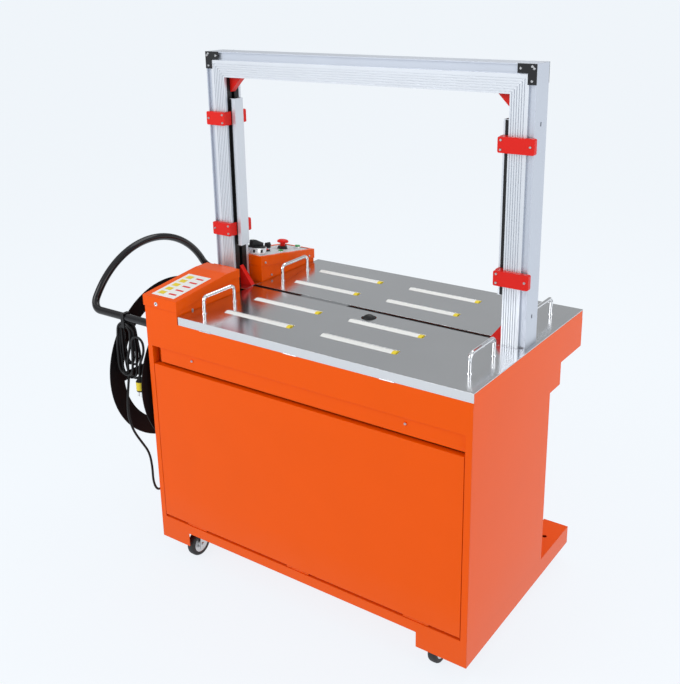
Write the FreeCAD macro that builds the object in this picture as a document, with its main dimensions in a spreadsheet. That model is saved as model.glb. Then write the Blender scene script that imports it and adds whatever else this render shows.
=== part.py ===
"""Semi-automatic strapping machine with a strap arch, a hinged steel table and a side-mounted reel.

Everything is drawn from one datum, the front left corner of the cabinet on the floor:
x runs along the front, y runs to the back and z runs up, in millimetres.
Each finished piece is then moved by its Placement, so that the machine stands centred on the origin.
"""
import FreeCAD, Part
import Sketcher
import math
import os
import re

App = FreeCAD
Vector = App.Vector

# ---------------------------------------------------------------- driving dimensions
SIZES = {
    # cabinet
    "table_height": 760, "table_depth": 630, "table_flange": 23, "skin": 2, "wall": 2,
    "body_depth": 430, "step_depth": 494, "upper_drop": 104, "lower_drop": 166,
    "foot_clearance": 50, "skirt_rise": 42, "skirt_left": 105, "skirt_right": 138,
    "rail_width": 72, "rail_height": 52, "rail_start": 135, "rail_end": 620, "anchor_bore": 6.5,
    "anchor_inset": 82, "vent_pitch": 14, "beam_width": 30, "beam_wall": 3, "channel_depth": 70, "sill_height": 120,
    "slot_shift": 3, "slot_width": 16, "plate_gap": 0.3, "slot_beam": 16, "slot_beam_drop": 20, "leg_plate": 110,
    # door and grip strip
    "door_margin": 17, "door_gap": 2, "door_thickness": 18, "door_bottom_gap": 8, "door_drop": 157,
    "door_hinge_radius": 3, "door_pin_radius": 1.5, "running_gap": 0.05, "door_hinge_inset": 120,
    "strip_depth": 44, "strip_hole": 25, "strip_setback": 6,
    # arch
    "arch_opening_width": 850, "arch_opening_height": 600, "leg_width": 63, "leg_margin": 12,
    "beam_height": 68, "arch_depth": 66, "arch_wall": 3, "profile_width": 45, "profile_thickness": 6,
    "groove_pitch": 6, "groove_width": 1.8, "groove_depth": 2,
    "clamp_height": 37, "clamp_length": 90, "clamp_short": 66, "clamp_thickness": 13, "clamp_low": 170, "clamp_high": 487,
    "corner_arm": 46, "corner_width": 21, "corner_thickness": 2, "bar_width": 17, "bar_thickness": 34,
    "guide_size": 42, "guide_thickness": 20, "track_width": 22, "track_depth": 30,
    # table furniture
    "table_knuckle": 40, "table_knuckle_radius": 1.5, "leg_plate_lap": 7, "leg_plate_lip": 5,
    "roller_radius": 15, "roller_window": 25, "roller_length": 220, "roller_proud": 3, "row_pitch": 123, "row_shift": 12,
    "roller_stub": 6, "stub_radius": 3, "roller_left": 315, "roller_right": 633,
    "handle_bar": 5, "handle_span": 122, "handle_height": 50, "handle_left": 162, "handle_right": 59,
    "ball_radius": 20, "ball_x": 554, "ball_offset": 48, "ball_rise": 9, "ball_stem": 9,
    # boxes at the left end
    "box_width": 120, "box_wall": 1.5, "box_gap": 28, "lid_skirt": 30, "lid_overhang": 2.5, "lid_sheet": 1.5,
    "toolbox_front_rise": 40, "toolbox_rear_rise": 64, "lid_flat": 50, "lid_hinge_radius": 3,
    "control_front_rise": 78, "control_slope": 8.6, "control_depth": 256, "control_skirt": 30,
    "plate_margin": 8, "plate_thickness": 1.5,
    # push handle and reel
    "tube_radius": 11, "tube_wall": 2, "handle_reach": 240, "handle_drop": 50, "handle_front": 17,
    "handle_rear": 499, "handle_bow_angle": 58, "handle_bend": 34, "flange_plate": 3,
    "reel_radius": 248, "reel_window": 197, "reel_y": 229, "reel_drop": 250, "reel_near": 20,
    "reel_width": 130, "reel_plate": 3, "core_radius": 100, "core_wall": 3, "shaft_radius": 10,
    "spoke_width": 26, "hub_radius": 30,
    # casters
    "wheel_radius": 37.5, "wheel_width": 24, "caster_height": 105, "caster_trail": 22,
    "caster_inset": 98, "caster_front": 66, "caster_rear": 365, "rear_caster_inset": 136,
    "stem_radius": 8, "axle_radius": 4, "fork_gap": 2, "fork_wall": 3,
    # strapping head and drive
    "anvil_left": 294, "anvil_length": 160, "head_depth": 60, "head_height": 120,
    "cam_radius": 14, "cam_disc": 30, "presser_width": 30, "presser_depth": 8, "presser_travel": 8,
    "feed_radius": 24, "idler_radius": 20, "feed_width": 18,
    "motor_radius": 50, "motor_length": 190,
    # power cord
    "cord_radius": 3.5, "gland_radius": 9,
}

doc = App.newDocument("strapping_machine")
sheet = doc.addObject("Spreadsheet::Sheet", "Sizes")
for row, (alias, number) in enumerate(SIZES.items(), start=1):
    sheet.set("A%d" % row, alias)
    sheet.set("B%d" % row, str(number))
    sheet.setAlias("B%d" % row, alias)
doc.recompute()

# ---------------------------------------------------------------- lengths that follow from them
DERIVED = {
    "cabinet_width": "arch_opening_width + 2 * leg_width + 2 * leg_margin",
    "under_table": "table_height - table_flange",
    "slot_centre": "table_depth / 2 + slot_shift",
    "arch_front": "slot_centre - arch_depth / 2",
    "arch_rear": "slot_centre + arch_depth / 2",
    "arch_top": "table_height + arch_opening_height + beam_height",
    "arch_left": "leg_margin",
    "arch_right": "cabinet_width - leg_margin",
    "opening_left": "leg_margin + leg_width",
    "opening_right": "cabinet_width - leg_margin - leg_width",
    "opening_top": "table_height + arch_opening_height",
    "rail_top": "foot_clearance + rail_height",
    "channel_top": "caster_height + 33",
    "floor_top": "channel_top + 3",
    "ring_top": "under_table - 6",
    "toolbox_depth": "arch_front - box_gap - 2",
    "plate_left": "box_width + lid_overhang + 1",
    "control_front": "arch_rear + 3",
    "handle_level": "table_height - handle_drop",
    "reel_level": "table_height - reel_drop",
    "cam_level": "ring_top - 81",
    "datum_x": "(handle_reach + tube_radius - cabinet_width) / 2",
    "datum_y": "(reel_radius - reel_y - table_depth) / 2",
}
WORD = re.compile(r"[a-z_]{4,}")


def formula(text):
    """Write a length in words as an expression on the sheet's cells."""
    def swap(match):
        word = match.group(0)
        if word in DERIVED:
            return "(" + formula(DERIVED[word]) + ")"
        if word in SIZES:
            return "Sizes." + word
        return word
    return WORD.sub(swap, str(text))


class Lengths:
    """The same lengths as numbers, for the shapes that are drawn directly."""

    def __getattr__(self, word):
        if word in SIZES:
            return float(sheet.get(word))
        return float(sheet.evalExpression(re.sub(r"Sizes\.", "", formula(DERIVED[word]))))


size = Lengths()
NODES = []


# ---------------------------------------------------------------- drawing helpers
def bind(item, **lengths):
    """Bind properties of an object to formulas."""
    for name, text in lengths.items():
        item.setExpression(name, formula(text))
    return item


def seat(item, at, turn=None):
    """Bind an object's position, after turning it about an axis by an angle."""
    if turn:
        item.Placement = App.Placement(Vector(), App.Rotation(Vector(*turn[0]), turn[1]))
    for axis, text in zip("xyz", at):
        item.setExpression("Placement.Base." + axis, formula(text))
    return item


def box(at, lengths):
    item = doc.addObject("Part::Box", "block")
    bind(item, Length=lengths[0], Width=lengths[1], Height=lengths[2])
    return seat(item, at)


TURNS = {"x": ((0, 1, 0), 90), "y": ((1, 0, 0), -90), "z": None}


def rod(at, radius, length, along="z"):
    """A cylinder from a point, towards +x, +y or +z."""
    item = doc.addObject("Part::Cylinder", "rod")
    bind(item, Radius=radius, Height=length)
    return seat(item, at, TURNS[along])


def cone(at, radius, top_radius, length, along="z"):
    item = doc.addObject("Part::Cone", "cone")
    bind(item, Radius1=radius, Radius2=top_radius, Height=length)
    return seat(item, at, TURNS[along])


def ball(at, radius):
    item = doc.addObject("Part::Sphere", "ball")
    bind(item, Radius=radius)
    return seat(item, at)


def fuse(*pieces):
    item = doc.addObject("Part::MultiFuse", "joined")
    item.Shapes = list(pieces)
    item.Refine = True
    return item


def cut(body, *tools):
    item = doc.addObject("Part::Cut", "cut")
    item.Base = body
    item.Tool = tools[0] if len(tools) == 1 else group(*tools)
    item.Refine = True
    return item


def group(*pieces):
    """Separate solids held in one object."""
    item = doc.addObject("Part::Compound", "group")
    item.Links = list(pieces)
    return item


def soften(body, radius, choose):
    """Round the edges of a body that a test picks."""
    doc.recompute()
    item = doc.addObject("Part::Fillet", "rounded")
    item.Base = body
    edges = [i for i, edge in enumerate(body.Shape.Edges, start=1) if choose(edge)]
    item.Edges = [(i, radius, radius) for i in edges]
    return item


def direct(shape):
    """A shape drawn with Part's own functions, where no primitive or feature fits."""
    item = doc.addObject("Part::Feature", "drawn")
    item.Shape = shape
    return item


def tube(at, lengths, wall="beam_wall"):
    """A closed box section with an even wall."""
    inner_at = [f"{place} + {wall}" for place in at]
    inner = [f"{length} - 2 * {wall}" for length in lengths]
    return cut(box(at, lengths), box(inner_at, inner))


def node(name, item, at=(0, 0, 0), turn=None):
    """Name a finished piece and stand it in the centred frame."""
    item.Label = name
    seat(item, (f"datum_x + {at[0]}", f"datum_y + {at[1]}", at[2]), turn)
    NODES.append(item)
    return item


def prism(points, normal, start, length):
    """A flat outline of (u, v) points pushed along x, y or z."""
    place = {"x": lambda u, v: Vector(start, u, v), "y": lambda u, v: Vector(u, start, v),
             "z": lambda u, v: Vector(u, v, start)}[normal]
    way = {"x": Vector(length, 0, 0), "y": Vector(0, length, 0), "z": Vector(0, 0, length)}[normal]
    corners = [place(u, v) for u, v in points]
    return Part.Face(Part.makePolygon(corners + corners[:1])).extrude(way)


def parallel(edge, axis):
    """True for a straight edge along an axis."""
    if edge.Curve.TypeId != "Part::GeomLine":
        return False
    return abs(edge.tangentAt(edge.FirstParameter).dot(axis)) > 0.999


def is_upright(edge):
    return parallel(edge, Vector(0, 0, 1))


def path_wire(points, radius_at):
    """Straight runs joined by tangent arcs; radius_at gives each inner corner's radius."""
    edges = []
    start = points[0]
    for i in range(1, len(points) - 1):
        corner = points[i]
        back = (points[i - 1] - corner).normalize()
        ahead = (points[i + 1] - corner).normalize()
        half_turn = (math.pi - back.getAngle(ahead)) / 2
        radius = radius_at(i, half_turn)
        reach = radius * math.tan(half_turn)
        enter = corner + back * reach
        leave = corner + ahead * reach
        middle = (back + ahead).normalize()
        bulge = corner + middle * (radius / math.cos(half_turn) - radius)
        if (enter - start).Length > 1e-6:
            edges.append(Part.LineSegment(start, enter).toShape())
        edges.append(Part.Arc(enter, bulge, leave).toShape())
        start = leave
    edges.append(Part.LineSegment(start, points[-1]).toShape())
    return Part.Wire(edges)


def swept(wire, radius):
    """A round bar of one radius along a path."""
    first = wire.Edges[0]
    way = first.tangentAt(first.FirstParameter)
    ring = Part.Wire([Part.makeCircle(radius, first.Vertexes[0].Point, way)])
    return wire.makePipeShell([ring], True, True)


# ---------------------------------------------------------------- sketched bodies
def plane_of(body, role):
    return next(f for f in body.Origin.OriginFeatures if f.Role == role)


def rectangle(body, role, left, bottom, right, top):
    """A sketch on one of a body's own planes, with its four sides bound to formulas."""
    sketch = body.newObject("Sketcher::SketchObject", "outline")
    sketch.AttachmentSupport = [(plane_of(body, role), "")]
    sketch.MapMode = "FlatFace"
    corners = [Vector(1, 1, 0), Vector(9, 1, 0), Vector(9, 9, 0), Vector(1, 9, 0)]
    for i in range(4):
        sketch.addGeometry(Part.LineSegment(corners[i], corners[(i + 1) % 4]), False)
    for i in range(4):
        sketch.addConstraint(Sketcher.Constraint("Coincident", i, 2, (i + 1) % 4, 1))
        sketch.addConstraint(Sketcher.Constraint("Vertical" if i % 2 else "Horizontal", i))
    sides = (("DistanceX", 0, 1, left), ("DistanceX", 0, 2, right),
             ("DistanceY", 0, 1, bottom), ("DistanceY", 2, 1, top))
    for kind, line, end, text in sides:
        index = sketch.addConstraint(Sketcher.Constraint(kind, -1, 1, line, end, 5.0))
        sketch.setExpression("Constraints[%d]" % index, formula(text))
    return sketch


def turned(name, steps):
    """A PartDesign body turned about its own z axis, from (inner, outer, low, high) steps."""
    body = doc.addObject("PartDesign::Body", name)
    for inner, outer, low, high in steps:
        sketch = rectangle(body, "XZ_Plane", inner, low, outer, high)
        spin = body.newObject("PartDesign::Revolution", "turned")
        spin.Profile = sketch
        spin.ReferenceAxis = (sketch, ["V_Axis"])
        spin.Angle = 360
        doc.recompute()
    return body


def padded_plate(name, role, outlines, thickness):
    """A PartDesign body of rectangles padded to one thickness."""
    body = doc.addObject("PartDesign::Body", name)
    for outline in outlines:
        pad = body.newObject("PartDesign::Pad", "pad")
        pad.Profile = rectangle(body, role, *outline)
        bind(pad, Length=thickness)
        doc.recompute()
    return body


# ---------------------------------------------------------------- cabinet frame
def caster_columns(row):
    """x of the two casters in a row; the rear pair stands clear of the foot rails."""
    inset = "caster_inset" if row == "caster_front" else "rear_caster_inset"
    return inset, f"cabinet_width - {inset}"


def cabinet_frame():
    """Two weldments: rails, caster channels and floor below, and posts with the top ring above."""
    pieces, upper = [], []
    rail_length = "rail_end - rail_start"
    for left in ("0", "cabinet_width - rail_width"):
        rail = tube((left, "rail_start", "foot_clearance"), ("rail_width", rail_length, "rail_height"))
        anchor = rod((f"{left} + rail_width / 2", "rail_end - anchor_inset", "foot_clearance - 1"),
                     "anchor_bore", "rail_height + 2")
        pieces.append(cut(rail, anchor))
        for front in ("rail_start + 20", "caster_rear - channel_depth / 2"):
            pieces.append(box((f"{left} + 10", front, "rail_top"),
                              ("rail_width - 20", "channel_depth", "channel_top - rail_top")))
    inside = "cabinet_width - 2 * wall"
    for middle in ("caster_front", "caster_rear"):
        channel = tube(("wall", f"{middle} - channel_depth / 2", "caster_height"),
                       (inside, "channel_depth", "channel_top - caster_height"))
        stems = [rod((x, middle, "caster_height - 1"), "stem_radius + running_gap", "beam_wall + 2")
                 for x in caster_columns(middle)]
        pieces.append(cut(channel, *stems))
    pieces.append(box(("wall", "wall + 24", "channel_top"),
                      (inside, "body_depth - 2 * wall - 24", "floor_top - channel_top")))
    far = "cabinet_width - wall - beam_width"
    for left in ("wall", far):
        for front in ("wall + 24", "body_depth - wall - beam_width"):
            upper.append(tube((left, front, "floor_top"),
                              ("beam_width", "beam_width", "ring_top - beam_width - floor_top")))
        upper.append(tube((left, "wall", "ring_top - beam_width"),
                          ("beam_width", "table_depth - 2 * wall", "beam_width")))
    for front in ("wall", "table_depth - wall - beam_width"):
        upper.append(tube(("wall + beam_width", front, "ring_top - beam_width"),
                          ("cabinet_width - 2 * wall - 2 * beam_width", "beam_width", "beam_width")))
    # plates that the arch legs stand on, and the two beams beside the strap slot
    for left in ("wall", "cabinet_width - wall - leg_plate"):
        upper.append(box((left, "arch_front - 15", "ring_top"), ("leg_plate", "arch_depth + 30", "6")))
    inset = "(leg_plate + wall)"
    for front in ("slot_centre - 12 - slot_beam", "slot_centre + 12"):
        upper.append(box((inset, front, "ring_top - slot_beam_drop"),
                         (f"cabinet_width - 2 * {inset}", "slot_beam",
                          "table_height - skin - 0.3 - ring_top + slot_beam_drop")))
        for left in ("wall + beam_width", f"cabinet_width - {inset}"):
            upper.append(box((left, front, "ring_top - slot_beam_drop"),
                             (f"{inset} - wall - beam_width", "slot_beam", "slot_beam_drop")))
    node("cabinet_frame", group(fuse(*pieces), fuse(*upper)))


def rear_outline(inset):
    """The stepped back edge of the cabinet, from the foot up to the table."""
    low = size.rail_top
    lower = size.table_height - size.lower_drop
    upper = size.table_height - size.upper_drop
    back, step, body = (size.table_depth - inset, size.step_depth - inset, size.body_depth - inset)
    return [(body, low), (body, lower + inset), (step, lower + inset), (step, upper + inset),
            (back, upper + inset), (back, size.under_table)]


def side_panels():
    """Sheet sides, stepping out under the table behind; the right one reaches up to the plates."""
    foot = [(size.wall, size.under_table), (size.wall, size.foot_clearance),
            (size.rail_start, size.foot_clearance), (size.rail_start, size.rail_top)]
    inset, top = size.wall + size.plate_gap, size.table_height - size.skin - size.plate_gap
    back = size.table_depth - inset
    rim = [(back, size.under_table), (back, top), (inset, top), (inset, size.under_table)]
    node("left_side_panel", direct(prism(foot + rear_outline(0), "x", 0, size.wall)))
    node("right_side_panel", direct(prism(foot + rear_outline(0) + rim, "x", size.cabinet_width - size.wall, size.wall)))


def rear_panel():
    """One folded sheet that closes the back, with rows of cooling slots in its lower face."""
    outline = rear_outline(0) + rear_outline(size.wall)[::-1]
    width = size.cabinet_width - 2 * size.wall
    panel = direct(prism(outline, "x", size.wall, width))
    slots = []
    for column in (0.2, 0.6):
        for row in range(9):
            slots.append(box((f"cabinet_width * {column}", "body_depth - 5", f"floor_top + 60 + {row} * vent_pitch"),
                             ("180", "10", "5")))
    seats = table_knuckles(True, "table_knuckle_radius + running_gap", "0.5")
    node("rear_panel", cut(panel, *slots, *seats))


def front_frame():
    """Front sheet with the door opening, skirts round the casters and a riser for the tool box."""
    face = box((0, 0, "foot_clearance"), ("cabinet_width", "wall", "under_table - foot_clearance"))
    riser = box((0, 0, "under_table"), ("box_width", "wall", "table_height + toolbox_front_rise - 2 - under_table"))
    notch = box(("skirt_left", -1, "foot_clearance - 1"),
                ("cabinet_width - skirt_left - skirt_right", "wall + 2", "skirt_rise + 1"))
    opening = box(("door_margin", -1, "sill_height"),
                  ("cabinet_width - 2 * door_margin", "wall + 2", "table_height - upper_drop - sill_height"))
    seats = table_knuckles(False, "table_knuckle_radius + running_gap", "0.5")
    sheet_face = cut(fuse(face, riser), notch, opening, *seats)
    # folded edges behind the opening
    lips = []
    for left in ("door_margin - wall", "cabinet_width - door_margin"):
        lips.append(box((left, "wall", "sill_height"),
                        ("wall", "20", "table_height - upper_drop - sill_height")))
    for low in ("sill_height - wall", "table_height - upper_drop"):
        lips.append(box(("door_margin - wall", "wall", low),
                        ("cabinet_width - 2 * door_margin + 2 * wall", "20", "wall")))
    node("front_frame", fuse(sheet_face, *lips))


def grip_strip():
    """A recessed folded strip over the door; fingers reach under it to pull the door."""
    top = "table_height - upper_drop"
    left = "door_margin + strip_hole"
    length = "cabinet_width - 2 * door_margin - strip_hole"
    face = box((left, "strip_setback", f"{top} - strip_depth"), (length, "wall", "strip_depth"))
    fold = box((left, "strip_setback + wall", f"{top} - strip_depth"), (length, "12", "wall"))
    flange = box((left, "strip_setback + wall", f"{top} - wall"), (length, "22 - strip_setback - wall", "wall"))
    screws = [rod((x, "strip_setback - 2", f"{top} - 16"), 4, "2", "y")
              for x in (160, "cabinet_width - 173")]
    node("grip_strip", fuse(face, fold, flange, *screws))


def door_hinge_places():
    return ("door_hinge_inset", "cabinet_width / 2 - 20", "cabinet_width - door_hinge_inset - 40")


def door_hinges():
    """Fixed halves of three hinges on the sill, each with its pin."""
    pieces = []
    axis_y, axis_z = "4", "sill_height + 4"
    for left in door_hinge_places():
        knuckle = rod((left, axis_y, axis_z), "door_hinge_radius", "40", "x")
        foot = box((left, "3", "sill_height"), ("40", "2", "3"))
        pin = rod((f"{left} - 16", axis_y, axis_z), "door_pin_radius", "72", "x")
        pieces.append(fuse(knuckle, foot, pin))
    node("door_hinges", group(*pieces))


def front_door():
    """A shallow pan that tilts out about its lower edge."""
    left = "door_margin + door_gap"
    low = "sill_height + door_bottom_gap"
    width = "cabinet_width - 2 * door_margin - 2 * door_gap"
    height = "table_height - door_drop - sill_height - door_bottom_gap"
    pan = box((left, 0, low), (width, "door_thickness", height))
    hollow = box((f"{left} + wall", "wall", f"{low} + wall"),
                 (f"{width} - 2 * wall", "door_thickness", f"{height} - 2 * wall"))
    # a hat-section stiffener across the middle
    stiffener = tube((f"{left} + wall", "wall", f"{low} + ({height}) / 2 - 20"),
                     (f"{width} - 2 * wall", "door_thickness - wall", "40"), "wall")
    pieces = [cut(pan, hollow), stiffener]
    for place in door_hinge_places():
        for offset in (-15.5, 40.5):
            start = f"{place} + {offset}"
            knuckle = rod((start, "4", "sill_height + 4"), "door_hinge_radius", "15", "x")
            foot = box((start, "3", "sill_height + 5"), ("15", "2", "door_bottom_gap - 5"))
            bore = rod((f"{start} - 1", "4", "sill_height + 4"), "door_pin_radius + running_gap", "17", "x")
            pieces.append(cut(fuse(knuckle, foot), bore))
    node("front_door", fuse(*pieces))


# ---------------------------------------------------------------- table
def table_knuckles(rear, radius, spare):
    """Thin hinge knuckles in the seam under a plate's outer edge; spare lengthens them to cut their seats."""
    edge = "table_depth" if rear else "0"
    return [rod((f"cabinet_width * {share} - {spare}", edge, "under_table"), radius, f"table_knuckle + 2 * {spare}", "x")
            for share in (0.2, 0.48, 0.76)]


ROLLER_LEFTS = ("roller_left - roller_length / 2", "roller_right - roller_length / 2")
FRONT_PLATE_DEPTH = "(slot_centre - slot_width / 2)"
REAR_PLATE_DEPTH = "(table_depth - slot_centre - slot_width / 2)"


def roller_rows(rear):
    """Distances of a plate's two roller rows from its outer edge, outer row first."""
    depth = REAR_PLATE_DEPTH if rear else FRONT_PLATE_DEPTH
    outer = f"({depth} - row_pitch) / 2 + row_shift - {7 if rear else 0}"
    return outer, f"{outer} + row_pitch"


def from_edge(rear, distance):
    """y of a place on a plate, from its distance to the plate's outer edge."""
    return f"table_depth - ({distance})" if rear else distance


def table_plate(name, rear):
    """A polished plate with one folded edge, roller windows and a notch for the arch leg."""
    depth = REAR_PLATE_DEPTH if rear else FRONT_PLATE_DEPTH
    front = f"table_depth - {depth}" if rear else "0"
    top = box(("plate_left", front, "table_height - skin"), ("cabinet_width - plate_left", depth, "skin"))
    edge_y = "table_depth - wall" if rear else "0"
    edge = box(("plate_left", edge_y, "under_table"), ("cabinet_width - plate_left", "wall", "table_flange - skin"))
    notch_y = "arch_rear - 80" if rear else "arch_front - 8"
    notch = box(("opening_right - 6", notch_y, "under_table - 1"), ("leg_width + leg_margin + 7", "88", "table_flange + 2"))
    windows, ears = [], []
    axle_z = "table_height + roller_proud - roller_radius"
    for row in roller_rows(rear):
        middle = from_edge(rear, row)
        for left in ROLLER_LEFTS:
            windows.append(box((f"{left} - 1.5", f"{middle} - roller_window / 2", "table_height - skin - 1"),
                               ("roller_length + 3", "roller_window", "skin + 2")))
            for ear_left in (f"{left} - 4.5", f"{left} + roller_length + 1.5"):
                ear = box((ear_left, f"{middle} - 9", f"{axle_z} - 7"),
                          ("3", "18", f"table_height - skin - ({axle_z}) + 7"))
                bore = rod((f"{ear_left} - 1", middle, axle_z), "stub_radius + running_gap", "5", "x")
                ears.append(cut(ear, bore))
    knuckles = table_knuckles(rear, "table_knuckle_radius", "0")
    body = cut(fuse(top, edge, *knuckles), notch, *windows)
    if not rear:
        ball_y = "slot_centre - ball_offset"
        body = cut(body, rod(("ball_x", ball_y, "table_height - skin - 1"), "ball_radius + 0.5", "skin + 2"))
        # a bridge under the plate guides the ball switch's stem
        bridge = box(("ball_x - 28", f"{ball_y} - 18", "table_height - 26"), ("56", "36", "4"))
        stem = rod(("ball_x", ball_y, "table_height - 27"), "ball_stem + running_gap", "6")
        ears.append(cut(bridge, stem))
        for left in ("ball_x - 28", "ball_x + 25"):
            ears.append(box((left, f"{ball_y} - 18", "table_height - 26"), ("3", "36", "26 - skin")))
    node(name, fuse(body, *ears))


def table_rollers():
    """Four rows of two free-running rollers, each with a stub axle at both ends."""
    for rear, side in ((False, "front"), (True, "rear")):
        for row, where in zip(roller_rows(rear), ("outer", "inner")):
            rollers = []
            for left in ROLLER_LEFTS:
                roller = turned("roller", ((0, "roller_radius", 0, "roller_length"),
                                           (0, "stub_radius", "0 - roller_stub", "roller_length + roller_stub")))
                axle_z = "table_height + roller_proud - roller_radius"
                rollers.append(seat(roller, (left, from_edge(rear, row), axle_z), TURNS["x"]))
            node(f"roller_{side}_{where}", group(*rollers))


def table_handles():
    """Bent round-bar handles that stand along y near both ends of each plate."""
    bar, span, rise, bend = size.handle_bar, size.handle_span, size.handle_height - size.handle_bar, 14
    places = {"front": (122, 155), "rear": (170, 139)}
    for side, distances in places.items():
        bars = []
        for left, distance in zip((size.handle_left, size.cabinet_width - size.handle_right), distances):
            middle = size.table_depth - distance if side == "rear" else distance
            foot, top = size.table_height, size.table_height + rise
            points = [Vector(left, middle - span / 2, foot), Vector(left, middle - span / 2, top),
                      Vector(left, middle + span / 2, top), Vector(left, middle + span / 2, foot)]
            bars.append(swept(path_wire(points, lambda i, half: bend), bar))
        node(f"table_handles_{side}", direct(Part.makeCompound(bars)))


def leg_base_plates():
    """Small fixed covers round the feet of the two arch legs, on a packer and on the right side panel."""
    gap = 0.5
    left_depth, right_depth = "arch_depth + leg_plate_lap + 1", "arch_depth + 2 * leg_plate_lap"
    places = (("box_wall", "plate_left - 1", "arch_left", left_depth),
              ("opening_right - leg_plate_lip", "cabinet_width", "opening_right", right_depth))
    plates = []
    for left, right, leg, depth in places:
        plate = box((left, "arch_front - leg_plate_lap", "table_height - skin"),
                    (f"{right} - ({left})", depth, "skin"))
        hole = box((f"{leg} - {gap}", f"arch_front - {gap}", "table_height - skin - 1"),
                   (f"leg_width + {2 * gap}", f"arch_depth + {2 * gap}", "skin + 2"))
        slot = box(("opening_left + guide_size", "slot_centre - slot_width / 2", "table_height - skin - 1"),
                   ("arch_opening_width - 2 * guide_size", "slot_width", "skin + 2"))
        plates.append(cut(plate, hole, slot))
    packer = box(("4", "arch_front - leg_plate_lap", "under_table"), ("4", left_depth, "table_flange - skin"))
    node("leg_base_plates", group(fuse(plates[0], packer), plates[1]))


def ball_switch():
    """A black dome set in the front plate that starts a cycle when a parcel presses it."""
    x, y = "ball_x", "slot_centre - ball_offset"
    lower = box((f"{x} - 30", f"{y} - 30", "table_height - 60"), ("60", "60", "50"))
    dome = cut(ball((x, y, "table_height + ball_rise - ball_radius"), "ball_radius"), lower)
    stem = rod((x, y, "table_height - 34"), "ball_stem", "26")
    node("ball_switch", fuse(dome, stem))


# ---------------------------------------------------------------- arch
def arch_channel():
    """Outer casing of the arch: a thin outer web and two recessed side walls, in one U."""
    outer = box(("arch_left", "arch_front", "under_table"),
                ("arch_right - arch_left", "arch_depth", "arch_top - under_table"))
    hollow = box(("arch_left + arch_wall", "arch_front - 1", "under_table - 1"),
                 ("arch_right - arch_left - 2 * arch_wall", "arch_depth + 2", "arch_top - arch_wall - under_table + 1"))
    walls = []
    for front in ("arch_front + profile_thickness", "arch_rear - profile_thickness - arch_wall"):
        wall = box(("arch_left + 1", front, "under_table"),
                   ("arch_right - arch_left - 2", "arch_wall", "arch_top - 1 - under_table"))
        gap = box(("opening_left", f"{front} - 1", "under_table - 1"),
                  ("arch_opening_width", "arch_wall + 2", "opening_top - under_table + 1"))
        walls.append(cut(wall, gap))
    # a cable slot in each outer side
    slots = []
    for x in ("arch_left - 1", "arch_right - arch_wall - 1"):
        for low in ("table_height + 70", "opening_top - 72"):
            slots.append(box((x, "slot_centre - 3", low), ("arch_wall + 2", "6", "10")))
    node("arch_channel", cut(fuse(cut(outer, hollow), *walls), *slots))


def profile_bar(outline, grooves, front):
    """One mitred bar with ribs along the face that shows."""
    bar = prism(outline, "y", front, size.profile_thickness)
    return bar.cut(Part.makeCompound(grooves))


def arch_profiles():
    """Ribbed aluminium bars round the opening, three in front and three behind, mitred together."""
    left, right, top, low = size.opening_left, size.opening_right, size.opening_top, size.under_table
    width, pitch, groove, depth = size.profile_width, size.groove_pitch, size.groove_width, size.groove_depth
    outlines = (
        [(left - width, low), (left, low), (left, top), (left - width, top + width)],
        [(right, low), (right + width, low), (right + width, top + width), (right, top)],
        [(left, top), (right, top), (right + width, top + width), (left - width, top + width)],
    )
    bars = []
    for front, face in ((size.arch_front, size.arch_front - 1),
                        (size.arch_rear - size.profile_thickness, size.arch_rear - depth)):
        offsets = [4 + k * pitch for k in range(int((width - 6) / pitch))]
        tall, deep = top - low + width, depth + 1
        in_left = [Part.makeBox(groove, deep, tall, Vector(left - d - groove, face, low)) for d in offsets]
        in_right = [Part.makeBox(groove, deep, tall, Vector(right + d, face, low)) for d in offsets]
        in_top = [Part.makeBox(right - left + 2 * d, deep, groove, Vector(left - d, face, top + d)) for d in offsets]
        for outline, grooves in zip(outlines, (in_left, in_right, in_top)):
            bars.append(profile_bar(outline, grooves, front))
    node("arch_profiles", direct(Part.makeCompound(bars)))


def strap_track():
    """Black plastic guide in which the strap runs round the arch and under the table slot."""
    half = "(arch_depth / 2 - profile_thickness - arch_wall)"
    outer = box(("opening_left - track_depth", f"slot_centre - {half}", "under_table"),
                ("arch_opening_width + 2 * track_depth", f"2 * {half}", "opening_top + track_depth - under_table"))
    inner = box(("opening_left", "arch_front", "under_table - 1"),
                ("arch_opening_width", "arch_depth", "opening_top - under_table + 1"))
    groove = box(("opening_left - track_width", "slot_centre - 6", "under_table - 1"),
                 ("arch_opening_width + 2 * track_width", "12", "opening_top + track_width - under_table + 1"))
    bed = box(("opening_left - 1", "slot_centre - 11.5", "under_table"),
              ("arch_opening_width + 2", "23", "table_flange - 2 * skin"))
    bed_groove = box(("opening_left - 2", "slot_centre - 3.5", "table_height - 18"),
                     ("arch_opening_width + 4", "7", "15"))
    head_gap = box(("anvil_left - 2", "slot_centre - 12", "table_height - 27"), ("anvil_length + 4", "24", "24"))
    node("strap_track", fuse(cut(outer, inner, groove), cut(bed, bed_groove, head_gap)))


def clamp_places():
    """Left end, length, and the jaw's left end and width of the clamps: in front, then behind."""
    left = ("opening_left + 5 - clamp_short", "clamp_short", "opening_left + 2", "3")
    start = "opening_right - bar_width - 3"
    return ((left, (start, "clamp_length", start, "bar_width + 1")),
            (left, (start, "clamp_short", start, "bar_width + 1")))


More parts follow.
